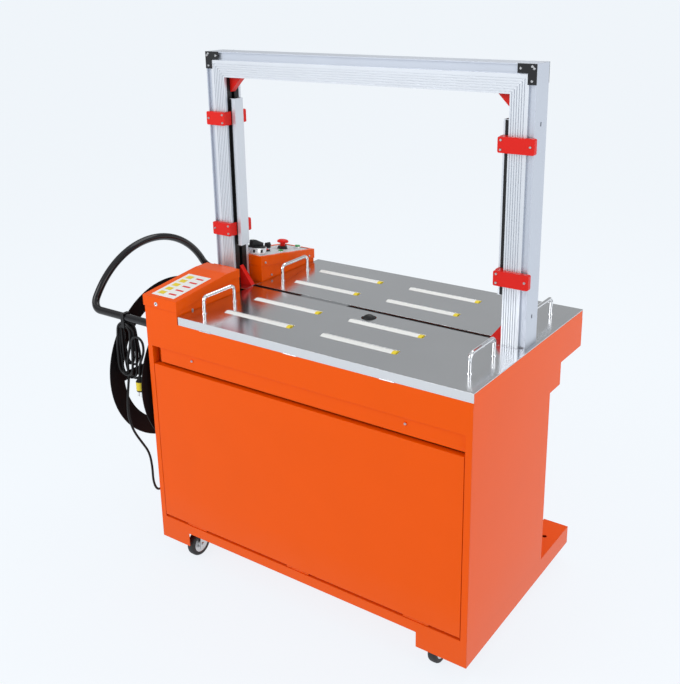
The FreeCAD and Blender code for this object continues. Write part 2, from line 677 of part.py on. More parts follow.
def arch_clamps():
    """Red clamps, two to a leg on each face, that hold the inner guard bars to the legs."""
    clamps = []
    faces = (("arch_front - clamp_thickness", "arch_front - 1"),
             ("arch_rear", "slot_centre + bar_thickness / 2"))
    for (front, jaw_front), places in zip(faces, clamp_places()):
        for rise in ("clamp_low", "clamp_high"):
            low = f"table_height + {rise} - clamp_height / 2"
            for left, length, jaw, jaw_width in places:
                plate = box((left, front, low), (length, "clamp_thickness", "clamp_height"))
                plate = soften(plate, 4, lambda edge: parallel(edge, Vector(0, 1, 0)))
                reach = box((jaw, jaw_front, low), (jaw_width, "(arch_depth - bar_thickness) / 2 + 1", "clamp_height"))
                clamps.append(fuse(plate, reach))
    node("arch_clamps", group(*clamps))


def guard_bars():
    """Open aluminium channels inside the legs that keep parcels off the strap track."""
    bars = []
    low, length = "table_height + clamp_low - 50", "clamp_high - clamp_low + 104"
    for left, hollow in (("opening_left + 3", "opening_left + 2"), ("opening_right - 3 - bar_width", "opening_right - 1 - bar_width")):
        bar = box((left, "slot_centre - bar_thickness / 2", low), ("bar_width", "bar_thickness", length))
        inside = box((hollow, "slot_centre - bar_thickness / 2 + 2", f"{low} - 1"),
                     ("bar_width - 1", "bar_thickness - 4", f"{length} + 2"))
        bars.append(cut(bar, inside))
    node("guard_bars", group(*bars))


def corner_guides():
    """Red wedges that turn the strap at the four inner corners."""
    left, right = size.opening_left, size.opening_right
    top, low, leg = size.opening_top, size.table_height, size.guide_size
    centre, thick = size.slot_centre, size.guide_thickness
    narrow = size.slot_width - 1
    wedges = []
    for corner, way in ((left, 1), (right, -1)):
        upper = [(corner, top), (corner + way * leg, top), (corner, top - leg)]
        lower = [(corner, low), (corner + way * leg, low), (corner, low + 1.3 * leg)]
        wedges.append(prism(upper, "y", centre - thick / 2, thick))
        wedges.append(prism(lower, "y", centre - narrow / 2, narrow))
    node("corner_guides", direct(Part.makeCompound(wedges)))


def arch_corner_plates():
    """Black L plates over the two top corners, in front and behind."""
    arms = []
    for front in ("arch_front", "arch_rear + corner_thickness"):
        for left, upright in (("arch_left", "arch_left"),
                              ("arch_right - corner_arm", "arch_right - corner_width")):
            outlines = ((left, "arch_top - corner_width", f"{left} + corner_arm", "arch_top"),
                        (upright, "arch_top - corner_arm", f"{upright} + corner_width", "arch_top"))
            plate = padded_plate("corner_plate", "XZ_Plane", outlines, "corner_thickness")
            arms.append(seat(plate, (0, front, 0)))
    node("arch_corner_plates", group(*arms))


def arch_screws():
    """Pan heads on the corner plates and the clamps."""
    screws = []
    head, radius = 1.6, 3
    faces = (("arch_front - corner_thickness", -1), ("arch_rear + corner_thickness", 1))
    half, arm = "corner_width / 2", "corner_arm - 8"
    for face, way in faces:
        start = face if way > 0 else f"{face} - {head}"
        for left in (True, False):
            for u, v in ((half, 6), (half, arm), (6, half), (arm, half)):
                x = f"arch_left + {u}" if left else f"arch_right - ({u})"
                screws.append(rod((x, start, f"arch_top - ({v})"), radius, head, "y"))
    outsides = (f"arch_front - clamp_thickness - {head}", "arch_rear + clamp_thickness")
    for start, (left, right) in zip(outsides, clamp_places()):
        spots = [(f"{left[0]} + {left[1]} - 8", 11), (f"{left[0]} + {left[1]} - 8", -11), (f"{left[0]} + 8", 0),
                 (f"{right[0]} + 8", 11), (f"{right[0]} + 8", -11), (f"{right[0]} + {right[1]} - 10", 0)]
        for rise in ("clamp_low", "clamp_high"):
            screws += [rod((x, start, f"table_height + {rise} + {v}"), radius, head, "y") for x, v in spots]
    node("arch_screws", group(*screws))


# ---------------------------------------------------------------- boxes at the left end
def toolbox():
    """An open sheet box in front of the arch and a creased lid hinged at its rear edge."""
    wall, deep, wide = size.box_wall, size.toolbox_depth, size.box_width
    low, floor = size.under_table, size.table_height
    front, rear = floor + size.toolbox_front_rise, floor + size.toolbox_rear_rise
    crease = deep - size.lid_flat
    start = size.wall
    outer = prism([(start, low), (deep, low), (deep, rear), (crease, rear), (start, front)], "x", 0, wide)
    inner = prism([(start + wall, low + wall), (deep - wall, low + wall), (deep - wall, rear + 9),
                   (start + wall, rear + 9)], "x", wall, wide - 2 * wall)
    barrel = size.lid_hinge_radius
    pivot = Vector(0, deep + barrel + 0.3, rear - 1)
    middle = Part.makeCylinder(barrel, 40, pivot + Vector(40, 0, 0), Vector(1, 0, 0))
    foot = Part.makeBox(40, barrel + 0.3, 2, Vector(40, deep - 0.1, pivot.z - 1))
    pin = Part.makeCylinder(1.5, 78, pivot + Vector(21, 0, 0), Vector(1, 0, 0))
    node("toolbox_base", direct(outer.cut(inner).fuse([middle, foot, pin]).removeSplitter()))

    gap, over, thick = 0.4, size.lid_overhang, size.lid_sheet
    skirt = size.lid_skirt
    top_front, top_rear = front + gap + thick, rear + gap + thick
    shell = prism([(-over, top_front - skirt), (crease, top_rear - 24), (deep, top_rear - 24), (deep, top_rear),
                   (crease, top_rear), (-over, top_front)], "x", -over, wide + 2 * over)
    hollow = prism([(thick - over, low), (deep + 1, low), (deep + 1, top_rear - thick),
                    (crease, top_rear - thick), (thick - over, top_front - thick)],
                   "x", thick - over, wide + 2 * over - 2 * thick)
    knuckles = []
    for x in (22, 80.5):
        knuckle = Part.makeCylinder(barrel, 17.5, pivot + Vector(x, 0, 0), Vector(1, 0, 0))
        leaf = Part.makeBox(17.5, barrel + 0.3, thick, Vector(x, deep - 0.1, top_rear - thick))
        web = Part.makeBox(17.5, 2, top_rear - pivot.z, Vector(x, pivot.y - 1, pivot.z))
        bore = Part.makeCylinder(1.5 + size.running_gap, 19.5, pivot + Vector(x - 1, 0, 0), Vector(1, 0, 0))
        knuckles.append(knuckle.fuse([leaf, web]).cut(bore))
    node("toolbox_lid", direct(shell.cut(hollow).fuse(knuckles).removeSplitter()))


def control_outline(front, rear, top_drop, low):
    """Side outline of the control box between two y places, under its sloping top."""
    fall = math.tan(math.radians(size.control_slope))
    top = size.table_height + size.control_front_rise - top_drop
    start = size.control_front
    return [(front, low), (rear, low), (rear, top - (rear - start) * fall), (front, top - (front - start) * fall)]


def control_box():
    """The box behind the arch: a casing with a folded cover round the sloping control panel."""
    wall, wide, low = size.box_wall, size.box_width, size.under_table
    front = size.control_front
    rear = front + size.control_depth
    margin, proud = size.plate_margin, 2
    casing = prism(control_outline(front, rear, 1, low), "x", 0, wide)
    top_line = control_outline(front - proud, rear + proud, 0, 0)[2:]
    cover_outline = [(y, z) for y, z in top_line] + [(y, z - size.control_skirt) for y, z in top_line[::-1]]
    cover = prism(cover_outline, "x", -proud, wide + 2 * proud)
    hollow = prism(control_outline(front + wall, rear - wall, wall, low + wall), "x", wall, wide - 2 * wall)
    window = prism(control_outline(front + margin, rear - margin, -9, low + wall), "x", margin, wide - 2 * margin)
    node("control_box", direct(casing.fuse(cover).cut(hollow).cut(window).removeSplitter()))


def on_panel(x, along, rise):
    """Place of a point on the sloping control panel, and the turn that stands a piece on it."""
    slope = "control_slope * 1deg"
    y = f"control_front + {along} * cos({slope}) + {rise} * sin({slope})"
    z = f"table_height + control_front_rise - {along} * sin({slope}) + {rise} * cos({slope})"
    return {"at": (x, y, z), "turn": ((1, 0, 0), -size.control_slope)}


PANEL_RISE = "(0 - box_wall)"
CONTROLS = {"dial": (68, 40), "power": (60, 94), "mode": (34, 136), "stop": (58, 180), "start": (82, 226),
            "lamp": (88, 134), "reset": (30, 226)}


def control_panel():
    plate = box((3, 3, "0 - plate_thickness"), ("box_width - 6", "control_depth - 10", "plate_thickness"))
    holes = [rod((x, y, "0 - plate_thickness - 1"), 4, "plate_thickness + 2")
             for x, y in (CONTROLS["stop"], CONTROLS["start"])]
    node("control_panel", cut(plate, *holes), **on_panel("0", "0", PANEL_RISE))


def control_bezels():
    """Fixed collars on the panel: the dial's drum, the switch frame, the stop collar and small rings."""
    drum = cut(rod((*CONTROLS["dial"], 0), 31, 20), rod((*CONTROLS["dial"], 2), 28.5, 19))
    spindle = rod((*CONTROLS["dial"], 1), 5, 21)
    windows = [box((CONTROLS["dial"][0] + 20, CONTROLS["dial"][1] + y, 6), (14, 6, 9)) for y in (-8, 6)]
    x, y = CONTROLS["power"]
    frame = cut(box((x - 9, y - 12, 0), (18, 24, 5)), box((x - 6.5, y - 9.5, 1), (13, 19, 5)))
    stem = fuse(rod((*CONTROLS["mode"], 0), 9, 3), rod((*CONTROLS["mode"], 0), 3, 14))
    collar = cut(cone((*CONTROLS["stop"], 0), 16, 13, 9), rod((*CONTROLS["stop"], -1), 8.3, 12))
    ring = cut(rod((*CONTROLS["start"], 0), 11, 6), rod((*CONTROLS["start"], -1), 8.3, 8))
    lamps = [fuse(rod((*CONTROLS[name], 0), 9, 2), rod((*CONTROLS[name], 0), 7, 6)) for name in ("lamp", "reset")]
    pieces = group(fuse(cut(drum, *windows), spindle), frame, stem, collar, ring, *lamps)
    node("control_bezels", pieces, **on_panel("0", "0", PANEL_RISE))


def control_knobs():
    """Everything on the panel that a hand turns or presses."""
    def place(name, rise):
        x, along = CONTROLS[name]
        return on_panel(str(x), str(along), f"({rise} + {PANEL_RISE})")

    disc = rod((0, 0, 0), 27.5, 4)
    grip = direct(prism([(-26, 3), (26, 3), (26, 12), (-10, 24), (-26, 24)], "x", -7, 14))
    bore = rod((0, 0, -1), "5 + running_gap", 5)
    node("main_dial", cut(fuse(disc, grip), bore), **place("dial", 18.4))

    rocker = direct(prism([(-9, 1.9), (0, 0), (9, 1.9), (9, 5), (0, 3.4), (-9, 8)], "x", -6, 12))
    stubs = rod((-6.4, 0, 2), 1, 12.8, "x")
    node("power_switch", fuse(rocker, stubs), **place("power", 1.7))

    knob = cut(fuse(rod((0, 0, 0), 10, 13), box((-2.5, -11, 10), (5, 22, 6))), rod((0, 0, -1), "3 + running_gap", 11.4))
    node("mode_knob", knob, **place("mode", 3.8))

    head = turned("mushroom", ((0, 8, 0, 14), (0, 18, 13, 19), (0, 16, 19, 22), (0, 11, 22, 24)))
    node("e_stop_button", head, **place("stop", 6))

    node("start_button", rod((0, 0, 0), 8, 7), **place("start", 3.6))


# ---------------------------------------------------------------- push handle and strap reel
def push_handle():
    """A bent tube on the left side: two level legs and a bow that rises between them."""
    reach, level, bend = size.handle_reach, size.handle_level, size.handle_bend
    front, rear, angle = size.handle_front, size.handle_rear, math.radians(size.handle_bow_angle)
    rise = Vector(0, math.cos(angle), math.sin(angle))
    fall = Vector(0, -math.cos(angle), math.sin(angle))
    corners = (Vector(-reach, front, level), Vector(-reach, rear, level))
    starts = (corners[0] + rise * bend, corners[1] + fall * bend)
    chord = starts[1].y - starts[0].y
    bow = chord / (2 * math.sin(angle))
    peak = Vector(-reach, (front + rear) / 2, starts[0].z + bow * (1 - math.cos(angle)))
    edges = []
    for corner, start, way in ((corners[0], starts[0], rise), (corners[1], starts[1], fall)):
        enter = corner + Vector(bend, 0, 0)
        middle = (Vector(1, 0, 0) + way).normalize()
        bulge = corner + middle * (bend * math.sqrt(2) - bend)
        edges.append([Part.LineSegment(Vector(0, corner.y, corner.z), enter).toShape(),
                      Part.Arc(enter, bulge, start).toShape()])
    path = Part.Wire(edges[0] + [Part.Arc(starts[0], peak, starts[1]).toShape()] + edges[1][::-1])
    bar = swept(path, size.tube_radius).cut(swept(path, size.tube_radius - size.tube_wall))
    flanges = []
    for y in (front, rear):
        disc = Part.makeCylinder(size.tube_radius + 5, size.flange_plate, Vector(0, y, level), Vector(-1, 0, 0))
        inside = Part.makeCylinder(size.tube_radius - 0.5, 9, Vector(1, y, level), Vector(-1, 0, 0))
        flanges.append(disc.cut(inside))
    node("push_handle", direct(bar.fuse(flanges).removeSplitter()))


def supply_reel():
    """Two spoked rings and a core drum that carry the strap coil, and the shaft they turn on."""
    centre = ("reel_y", "reel_level")
    hub = "hub_radius"
    plates = []
    bore = rod(("0 - reel_near - reel_width - 9", *centre), "shaft_radius + running_gap", "reel_width + 20", "x")
    for distance in ("reel_near", "reel_near + reel_width"):
        left = f"0 - ({distance}) - reel_plate / 2"
        ring = cut(rod((left, *centre), "reel_radius", "reel_plate", "x"),
                   rod((f"{left} - 1", *centre), "reel_window", "reel_plate + 2", "x"))
        upright = box((left, "reel_y - spoke_width / 2", "reel_level - reel_window - 3"),
                      ("reel_plate", "spoke_width", "2 * reel_window + 6"))
        level = box((left, "reel_y - reel_window - 3", "reel_level - spoke_width / 2"),
                    ("reel_plate", "2 * reel_window + 6", "spoke_width"))
        disc = rod((left, *centre), "core_radius + 6", "reel_plate", "x")
        plates.append(cut(fuse(ring, upright, level, disc), bore))
    core_left = "0 - reel_near - reel_width + reel_plate / 2"
    core = cut(rod((core_left, *centre), "core_radius", "reel_width - reel_plate", "x"),
               rod((f"{core_left} - 1", *centre), "core_radius - core_wall", "reel_width", "x"))
    sleeve = cut(rod((core_left, *centre), hub, "reel_width - reel_plate", "x"),
                 rod((f"{core_left} - 1", *centre), "shaft_radius + running_gap", "reel_width", "x"))
    node("supply_reel", group(*plates, core, sleeve))

    wall_plate = rod(("0 - flange_plate", *centre), "hub_radius + 12", "flange_plate", "x")
    shoulder = rod(("0 - reel_near + reel_plate / 2 + 0.4", *centre), "shaft_radius + 6",
                   "reel_near - reel_plate / 2 - 0.4", "x")
    far = "0 - reel_near - reel_width - reel_plate / 2"
    shaft = rod((f"{far} - 20", *centre), "shaft_radius", "reel_near + reel_width + reel_plate / 2 + 20", "x")
    cap = rod((f"{far} - 22", *centre), "hub_radius - 6", "21.5", "x")
    node("reel_shaft", fuse(wall_plate, shoulder, shaft, cap))


# ---------------------------------------------------------------- casters
def casters():
    """Four swivel casters: a pressed fork on a stem, and a wheel on its axle."""
    half_gap = "wheel_width / 2 + fork_gap"
    for row, depth in (("front", "caster_front"), ("rear", "caster_rear")):
        for side, x in zip(("left", "right"), caster_columns(depth)):
            crown = rod((0, 0, "caster_height - 0.3 - 8"), 24, 8)
            stem = rod((0, 0, "caster_height - 1"), "stem_radius", "12")
            nut = rod((0, 0, "caster_height + beam_wall + 0.3"), "stem_radius + 5", "6")
            cheeks = []
            reach, low = size.caster_trail, size.wheel_radius
            top = size.caster_height - 8.3
            outline = [(-reach - 11, low - 11), (-reach + 11, low - 11), (16, top - 8), (16, top), (-22, top), (-26, top - 14)]
            inner, thick = size.wheel_width / 2 + size.fork_gap, size.fork_wall
            for start in (inner, -inner - thick):
                cheeks.append(direct(prism(outline, "x", start, thick)))
            bridge = box((f"0 - {inner}", -20, top - 3), (2 * inner, 34, 3.5))
            axle = rod((f"0 - ({half_gap}) - fork_wall - 3", "0 - caster_trail", "wheel_radius"), "axle_radius",
                       f"2 * ({half_gap}) + 2 * fork_wall + 6", "x")
            fork = fuse(crown, stem, nut, bridge, axle, *cheeks)
            node(f"caster_fork_{row}_{side}", fork, (x, depth, 0))
            half = "wheel_width / 2"
            bore = "axle_radius + running_gap"
            wheel = turned("wheel", ((bore, "wheel_radius - 1.5", f"0 - {half}", half),
                                     (bore, "wheel_radius", f"3 - {half}", f"{half} - 3"),
                                     (bore, "axle_radius + 8", f"0.3 - ({half_gap})", f"{half_gap} - 0.3")))
            node(f"caster_wheel_{row}_{side}", wheel, (f"{x}", f"{depth} - caster_trail", "wheel_radius"), TURNS["x"])


# ---------------------------------------------------------------- strapping head and drive
PRESSERS = (6, 60, 118)


def strapping_head():
    """Head under the table slot: frame with the anvil, cam shaft, and three pressers that clamp the strap."""
    left, length = "anvil_left", "anvil_length"
    top, neck_top = "ring_top - 20", "table_height - skin"
    half = "head_depth / 2 + 10"
    body = box((left, f"slot_centre - ({half})", f"{top} - head_height"), (length, f"2 * ({half})", "head_height"))
    hollow = box((f"{left} + 8", f"slot_centre - ({half}) + 8", f"{top} - head_height - 1"),
                 (f"{length} - 16", f"2 * ({half}) - 16", "head_height - 7"))
    shaft_bore = rod((f"{left} - 1", "slot_centre", "cam_level"), "cam_radius + running_gap", f"{length} + 2", "x")
    neck = box((left, "slot_centre - 11", f"{top} - 1"), (length, "22", f"{neck_top} - ({top}) + 1"))
    way = box((f"{left} + 4", "slot_centre - presser_depth / 2 - 0.2", f"{top} - 9"),
              (f"{length} - 8", "presser_depth + 0.4", f"{neck_top} - ({top}) + 10"))
    anvil = box((left, "slot_centre - slot_width / 2 + 0.5", neck_top), (length, "slot_width - 1", "skin"))
    frame = fuse(cut(fuse(body, neck), hollow, shaft_bore, way), anvil)
    # a plate beside the head carries the axles of the two feed rollers
    bracket = box((f"{left} + {length} + 12", "slot_centre + 12", "cam_level - 40"), ("90", "6", f"{top} - cam_level + 40"))
    axles = [rod((f"{left} + {length} + 57", "slot_centre - 12", height), 6, "25", "y")
             for height in ("cam_level", "cam_level + feed_radius + idler_radius + 0.6")]
    node("head_frame", group(frame, fuse(bracket, *axles)))

    shaft = rod((f"{left} - 6", "slot_centre", "cam_level"), "cam_radius", f"{length} + 16", "x")
    discs = [rod((f"{left} + 8 + {x}", "slot_centre", "cam_level + 5"), "cam_disc - 8", "presser_width - 8", "x")
             for x in PRESSERS]
    collar = rod((f"{left} + {length} + 0.3", "slot_centre", "cam_level"), "cam_radius + 5", "8", "x")
    node("cam_shaft", fuse(shaft, collar, *discs))

    feet = "cam_level + cam_disc - 2.5"
    rest = "table_height - skin - 1 - presser_travel"
    pressers = [box((f"{left} + {x} + 2", "slot_centre - presser_depth / 2", feet),
                    ("presser_width - 4", "presser_depth", f"{rest} - ({feet})")) for x in PRESSERS]
    node("pressers", group(*pressers))

    for name, height, radius in (("feed_roller", "cam_level", "feed_radius"),
                                 ("idler_roller", "cam_level + feed_radius + idler_radius + 0.6", "idler_radius")):
        wheel = cut(rod((0, 0, 0), radius, "feed_width", "y"), rod((0, -1, 0), "6 + running_gap", "feed_width + 2", "y"))
        node(name, wheel, (f"{left} + {length} + 57", "slot_centre - feed_width / 2", height))


def drive_motor():
    """Gear motor bolted to the head's left end, in line with the cam shaft."""
    face = "anvil_left - 8"
    centre = ("slot_centre", "cam_level")
    flange = cut(box((face, "slot_centre - 40", "cam_level - 40"), ("8", "80", "80")),
                 rod((f"{face} - 1", *centre), "cam_radius + 1", "10", "x"))
    can = rod((f"{face} - motor_length", *centre), "motor_radius", "motor_length", "x")
    cowl = rod((f"{face} - motor_length - 14", *centre), "motor_radius - 4", "15", "x")
    terminal = box((f"{face} - 120", "slot_centre - motor_radius - 18", "cam_level - 25"), ("60", "40", "50"))
    node("drive_motor", fuse(flange, can, cowl, terminal))


def strap_pool():
    """A narrow sheet magazine under the table in which slack strap folds."""
    left, top = "anvil_left + anvil_length + 126", "ring_top - 20"
    length = "opening_right - 45 - (anvil_left + anvil_length + 126)"
    outer = box((left, "slot_centre - 20", f"{top} - 380"), (length, "40", "380"))
    inner = box((f"{left} + wall", "slot_centre - 20 + wall", f"{top} - 380 + wall"),
                (f"{length} - 2 * wall", "40 - 2 * wall", "380"))
    node("strap_pool", cut(outer, inner))


# ---------------------------------------------------------------- power cord
LEAD = ((-26, 104, 252), (-51, 104, 252), (-73, 103, 222), (-74, 97, 182), (-70, 78, 152), (-67, 50, 152),
        (-66, 35, 188), (-71, 41, 236), (-80, 42, 280), (-88, 24, 318), (-92, 2, 360), (-95, -10, 404),
        (-97, -9, 452), (-99, 0, 496), (-101, 9.5, 534))
PLUG_LEAD = ((-74, 6, 622), (-74, 6, 646.3), (-67.7, 6, 657.1), (-56.9, 6, 663.4), (-44.3, 6, 663.4),
             (-33.5, 6, 657.1), (-27.2, 6, 646.3), (-27.2, 6, 624), (-38, 6, 600), (-52, 6, 573), (-52, 6, 543))
HANK_X = -103


def cord_run(name, route):
    """A lead as straight runs joined by tangent arcs, each as large as its two runs allow."""
    points = [Vector(*p) for p in route]
    radii = []

    def radius_at(i, half_turn):
        shorter = min((points[i] - points[i - 1]).Length, (points[i + 1] - points[i]).Length)
        radii.append(0.45 * shorter / math.tan(half_turn))
        return radii[-1]

    path = path_wire(points, radius_at)
    shape = swept(path, size.cord_radius)
    print(name, "length %.0f mm" % path.Length, "volume / (section x length) %.4f"
          % (shape.Volume / (math.pi * size.cord_radius ** 2 * path.Length)),
          "radii", " ".join("%.0f" % r for r in radii))
    node(name, direct(shape))


def power_cord():
    """The mains lead: gland, hanging lead, the hank tied under the handle's front leg, and the plug."""
    cord_run("power_cord", LEAD)
    cord_run("plug_lead", PLUG_LEAD)
    exit_x, exit_y, exit_z = LEAD[0]
    nut = rod(("0 - 8", exit_y, exit_z), "gland_radius + 2", 8, "x")
    boot = cone((exit_x, exit_y, exit_z), "cord_radius + 1", "gland_radius", -8 - exit_x, "x")
    node("cord_gland", fuse(nut, boot))

    x, top = HANK_X, size.handle_level - size.tube_radius - 0.4
    neck_drop = 16
    outline = [(x - 16, top), (x + 16, top), (x + 33, top - 18), (x + 37, top - 100), (x + 33, top - 166),
               (x + 16, top - 184), (x - 16, top - 184), (x - 33, top - 166), (x - 37, top - 100), (x - 33, top - 18)]
    body = prism(outline, "y", -5, 44)
    eye = Part.makeBox(20, 60, neck_drop + 12, Vector(x - 10, -15, top - neck_drop - 10))
    neck = Part.makeBox(22, 22, neck_drop, Vector(x - 11, 6, top - neck_drop))
    node("cord_hank", direct(body.cut(eye).fuse(neck).removeSplitter()))

    inner = (size.handle_front, size.handle_level)
    half = size.tube_radius + 0.4
    low, high = top - neck_drop - 0.4, inner[1] + half
    band = [(inner[0] - half - 1.5, low - 1.5), (inner[0] + half + 1.5, low - 1.5),
            (inner[0] + half + 1.5, high + 1.5), (inner[0] - half - 1.5, high + 1.5)]
    space = [(inner[0] - half, low), (inner[0] + half, low), (inner[0] + half, high), (inner[0] - half, high)]
    tie = prism(band, "x", x - 6, 12).cut(prism(space, "x", x - 7, 14))
    node("hank_tie", direct(tie))

    end_x, end_y, end_z = PLUG_LEAD[-1]
    body = rod((end_x, end_y, end_z - 44), 12, 34)
    boot = cone((end_x, end_y, end_z - 10), 12, 5, 10)
    pins = [box((end_x + dx - 3, end_y + dy - 1, end_z - 60), (6, 2, 17)) for dx, dy in ((0, 6), (-6, -4), (6, -4))]
    node("power_plug", fuse(body, boot, *pins))


# ---------------------------------------------------------------- build, check and write
cabinet_frame()
side_panels()
rear_panel()
front_frame()
grip_strip()
door_hinges()
front_door()
for plate_name, at_rear in (("table_front", False), ("table_rear", True)):
    table_plate(plate_name, at_rear)
table_rollers()
table_handles()
leg_base_plates()
ball_switch()
arch_channel()
arch_profiles()
strap_track()
arch_clamps()
guard_bars()
corner_guides()
arch_corner_plates()
arch_screws()
toolbox()
control_box()
control_panel()
control_bezels()
control_knobs()
push_handle()
supply_reel()
casters()
strapping_head()
drive_motor()
strap_pool()
power_cord()
doc.recompute()

failed = [item.Label for item in doc.Objects if {"Invalid", "Error"} & set(item.State)]
for item in NODES:
    if item.Shape.isNull() or not item.Shape.isValid() or not item.Shape.Solids:
        failed.append(item.Label)
if failed:
    raise SystemExit("not built: " + ", ".join(failed))

os.makedirs("parts", exist_ok=True)
for item in NODES:
    item.Shape.exportStep("parts/%s.step" % item.Label)
whole = App.BoundBox()
for item in NODES:
    whole.add(item.Shape.BoundBox)
print(len(NODES), "nodes, box x %.1f..%.1f y %.1f..%.1f z %.1f..%.1f" % (
    whole.XMin, whole.XMax, whole.YMin, whole.YMax, whole.ZMin, whole.ZMax))
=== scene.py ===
# %% [markdown]
# # A semi-automatic strapping machine
# A parcel stands on the polished table, inside the arch, and the machine draws a plastic strap round it.
# The solids come from a CAD model that is already to size. This lesson gives each of them its finish, and
# builds the small things that a solid model leaves plain: screws, roller caps, controls, the mains lead.

# %% Load the model
import math

import bmesh
import bpy
from mathutils import Matrix, Vector


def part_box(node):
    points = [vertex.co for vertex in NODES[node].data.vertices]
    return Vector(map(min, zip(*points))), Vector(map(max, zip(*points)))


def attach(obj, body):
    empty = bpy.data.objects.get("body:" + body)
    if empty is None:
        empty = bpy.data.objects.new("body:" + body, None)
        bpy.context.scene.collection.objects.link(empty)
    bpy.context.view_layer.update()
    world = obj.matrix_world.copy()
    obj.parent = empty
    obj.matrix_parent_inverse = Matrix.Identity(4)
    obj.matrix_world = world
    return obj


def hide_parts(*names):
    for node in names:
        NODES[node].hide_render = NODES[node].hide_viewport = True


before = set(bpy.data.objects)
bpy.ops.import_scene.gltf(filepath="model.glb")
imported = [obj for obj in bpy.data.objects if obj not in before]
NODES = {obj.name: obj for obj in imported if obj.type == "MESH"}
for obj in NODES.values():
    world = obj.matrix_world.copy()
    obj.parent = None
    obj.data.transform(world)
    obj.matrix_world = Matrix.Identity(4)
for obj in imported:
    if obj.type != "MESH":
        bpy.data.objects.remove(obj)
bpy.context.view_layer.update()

# %% [markdown]
# ## One ruler for everything
# Workshop drawings measure from a corner. The corner here is the cabinet's front left one, on the floor.
# `at` turns such a place, in millimetres, into a point in metres, by reading where the cabinet stands.

# %% The ruler
corner = Vector((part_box("left_side_panel")[0][0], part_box("front_frame")[0][1], 0))


def at(x, y, z):
    """A place in millimetres from the cabinet's front left corner, as a point in metres."""
    return corner + Vector((x, y, z)) / 1000


print("cabinet corner at", [round(c, 4) for c in corner])

# %% [markdown]
# ## A small kit of shapes
# Most fittings are turned on a lathe or cut from bar, so two makers cover them: one spins an outline about
# an axis, the other rounds the edges of a block. Both give plain vertices and faces, and `piece` joins
# several of them into one mesh object, each with its own finish. Normals are recalculated once they are joined.

# %% Shape makers
MM = Matrix.Scale(0.001, 4)


def standing(place, turn=Matrix()):
    """The matrix that takes a shape drawn in millimetres to a place, after a turn."""
    return Matrix.Translation(place) @ turn @ MM


TO_X = Matrix.Rotation(math.radians(90), 4, "Y")
TO_FRONT = Matrix.Rotation(math.radians(90), 4, "X")


def spun(outline, place, steps=40):
    """An outline of (radius, height) pairs spun about z; a zero radius closes in one point."""
    points, rings, faces = [], [], []
    for radius, height in outline:
        count = 1 if radius == 0 else steps
        rings.append(list(range(len(points), len(points) + count)))
        for k in range(count):
            angle = 2 * math.pi * k / steps
            points.append(place @ Vector((radius * math.cos(angle), radius * math.sin(angle), height)))
    for low, high in zip(rings, rings[1:]):
        for k in range(steps):
            quad = [low[k % len(low)], low[(k + 1) % len(low)], high[(k + 1) % len(high)], high[k % len(high)]]
            corners = list(dict.fromkeys(quad))
            if len(corners) > 2:
                faces.append(corners)
    return points, faces


def block(size, place, rounding=1.0, segments=3, outline=None):
    """A block, or an outline of (y, z) points pushed along x, centred in x, with rounded edges."""
    work = bmesh.new()
    half = size[0] / 2
    if outline is None:
        w, h = size[1] / 2, size[2] / 2
        outline = [(-w, -h), (w, -h), (w, h), (-w, h)]
    sides = [[work.verts.new((x, y, z)) for y, z in outline] for x in (-half, half)]
    work.faces.new(sides[0][::-1])
    work.faces.new(sides[1])
    for k in range(len(outline)):
        n = (k + 1) % len(outline)
        work.faces.new((sides[0][k], sides[0][n], sides[1][n], sides[1][k]))
    if rounding:
        bmesh.ops.bevel(work, geom=work.edges[:], offset=rounding, segments=segments, affect="EDGES",
                        profile=0.5)
    work.verts.index_update()
    points = [place @ v.co for v in work.verts]
    faces = [[v.index for v in f.verts] for f in work.faces]
    work.free()
    return points, faces


def piece(name, parts, body, smooth=35):
    """One mesh object from (shape, finish) pairs, riding on a body."""
    points, faces, slots, finishes = [], [], [], []
    for (more_points, more_faces), finish in parts:
        if finish not in finishes:
            finishes.append(finish)
        first = len(points)
        points += more_points
        faces += [[first + k for k in face] for face in more_faces]
        slots += [finishes.index(finish)] * len(more_faces)
    mesh = bpy.data.meshes.new(name)
    mesh.from_pydata([tuple(p) for p in points], [], faces)
    for finish in finishes:
        mesh.materials.append(finish)
    mesh.polygons.foreach_set("material_index", slots)
    work = bmesh.new()
    work.from_mesh(mesh)
    bmesh.ops.recalc_face_normals(work, faces=work.faces[:])
    work.to_mesh(mesh)
    work.free()
    mesh.shade_smooth()
    mesh.set_sharp_from_angle(angle=math.radians(smooth))
    obj = bpy.data.objects.new(name, mesh)
    bpy.context.scene.collection.objects.link(obj)
    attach(obj, body)
    print(name, len(mesh.polygons), "faces on", body)
    return obj


# %% [markdown]
# ## Finishes from nodes
# A sprayed panel is never one flat colour: its gloss wanders a little, and the film has a fine orange-peel.
# Brushed and polished steel carries faint streaks along its grain. One recipe gives all of these: a wide
# noise moves colour and roughness, and a fine noise, stretched for metals, makes the bump. A Bevel node
# softens the light on sharp sheet edges, so that folded edges catch a highlight as real ones do.

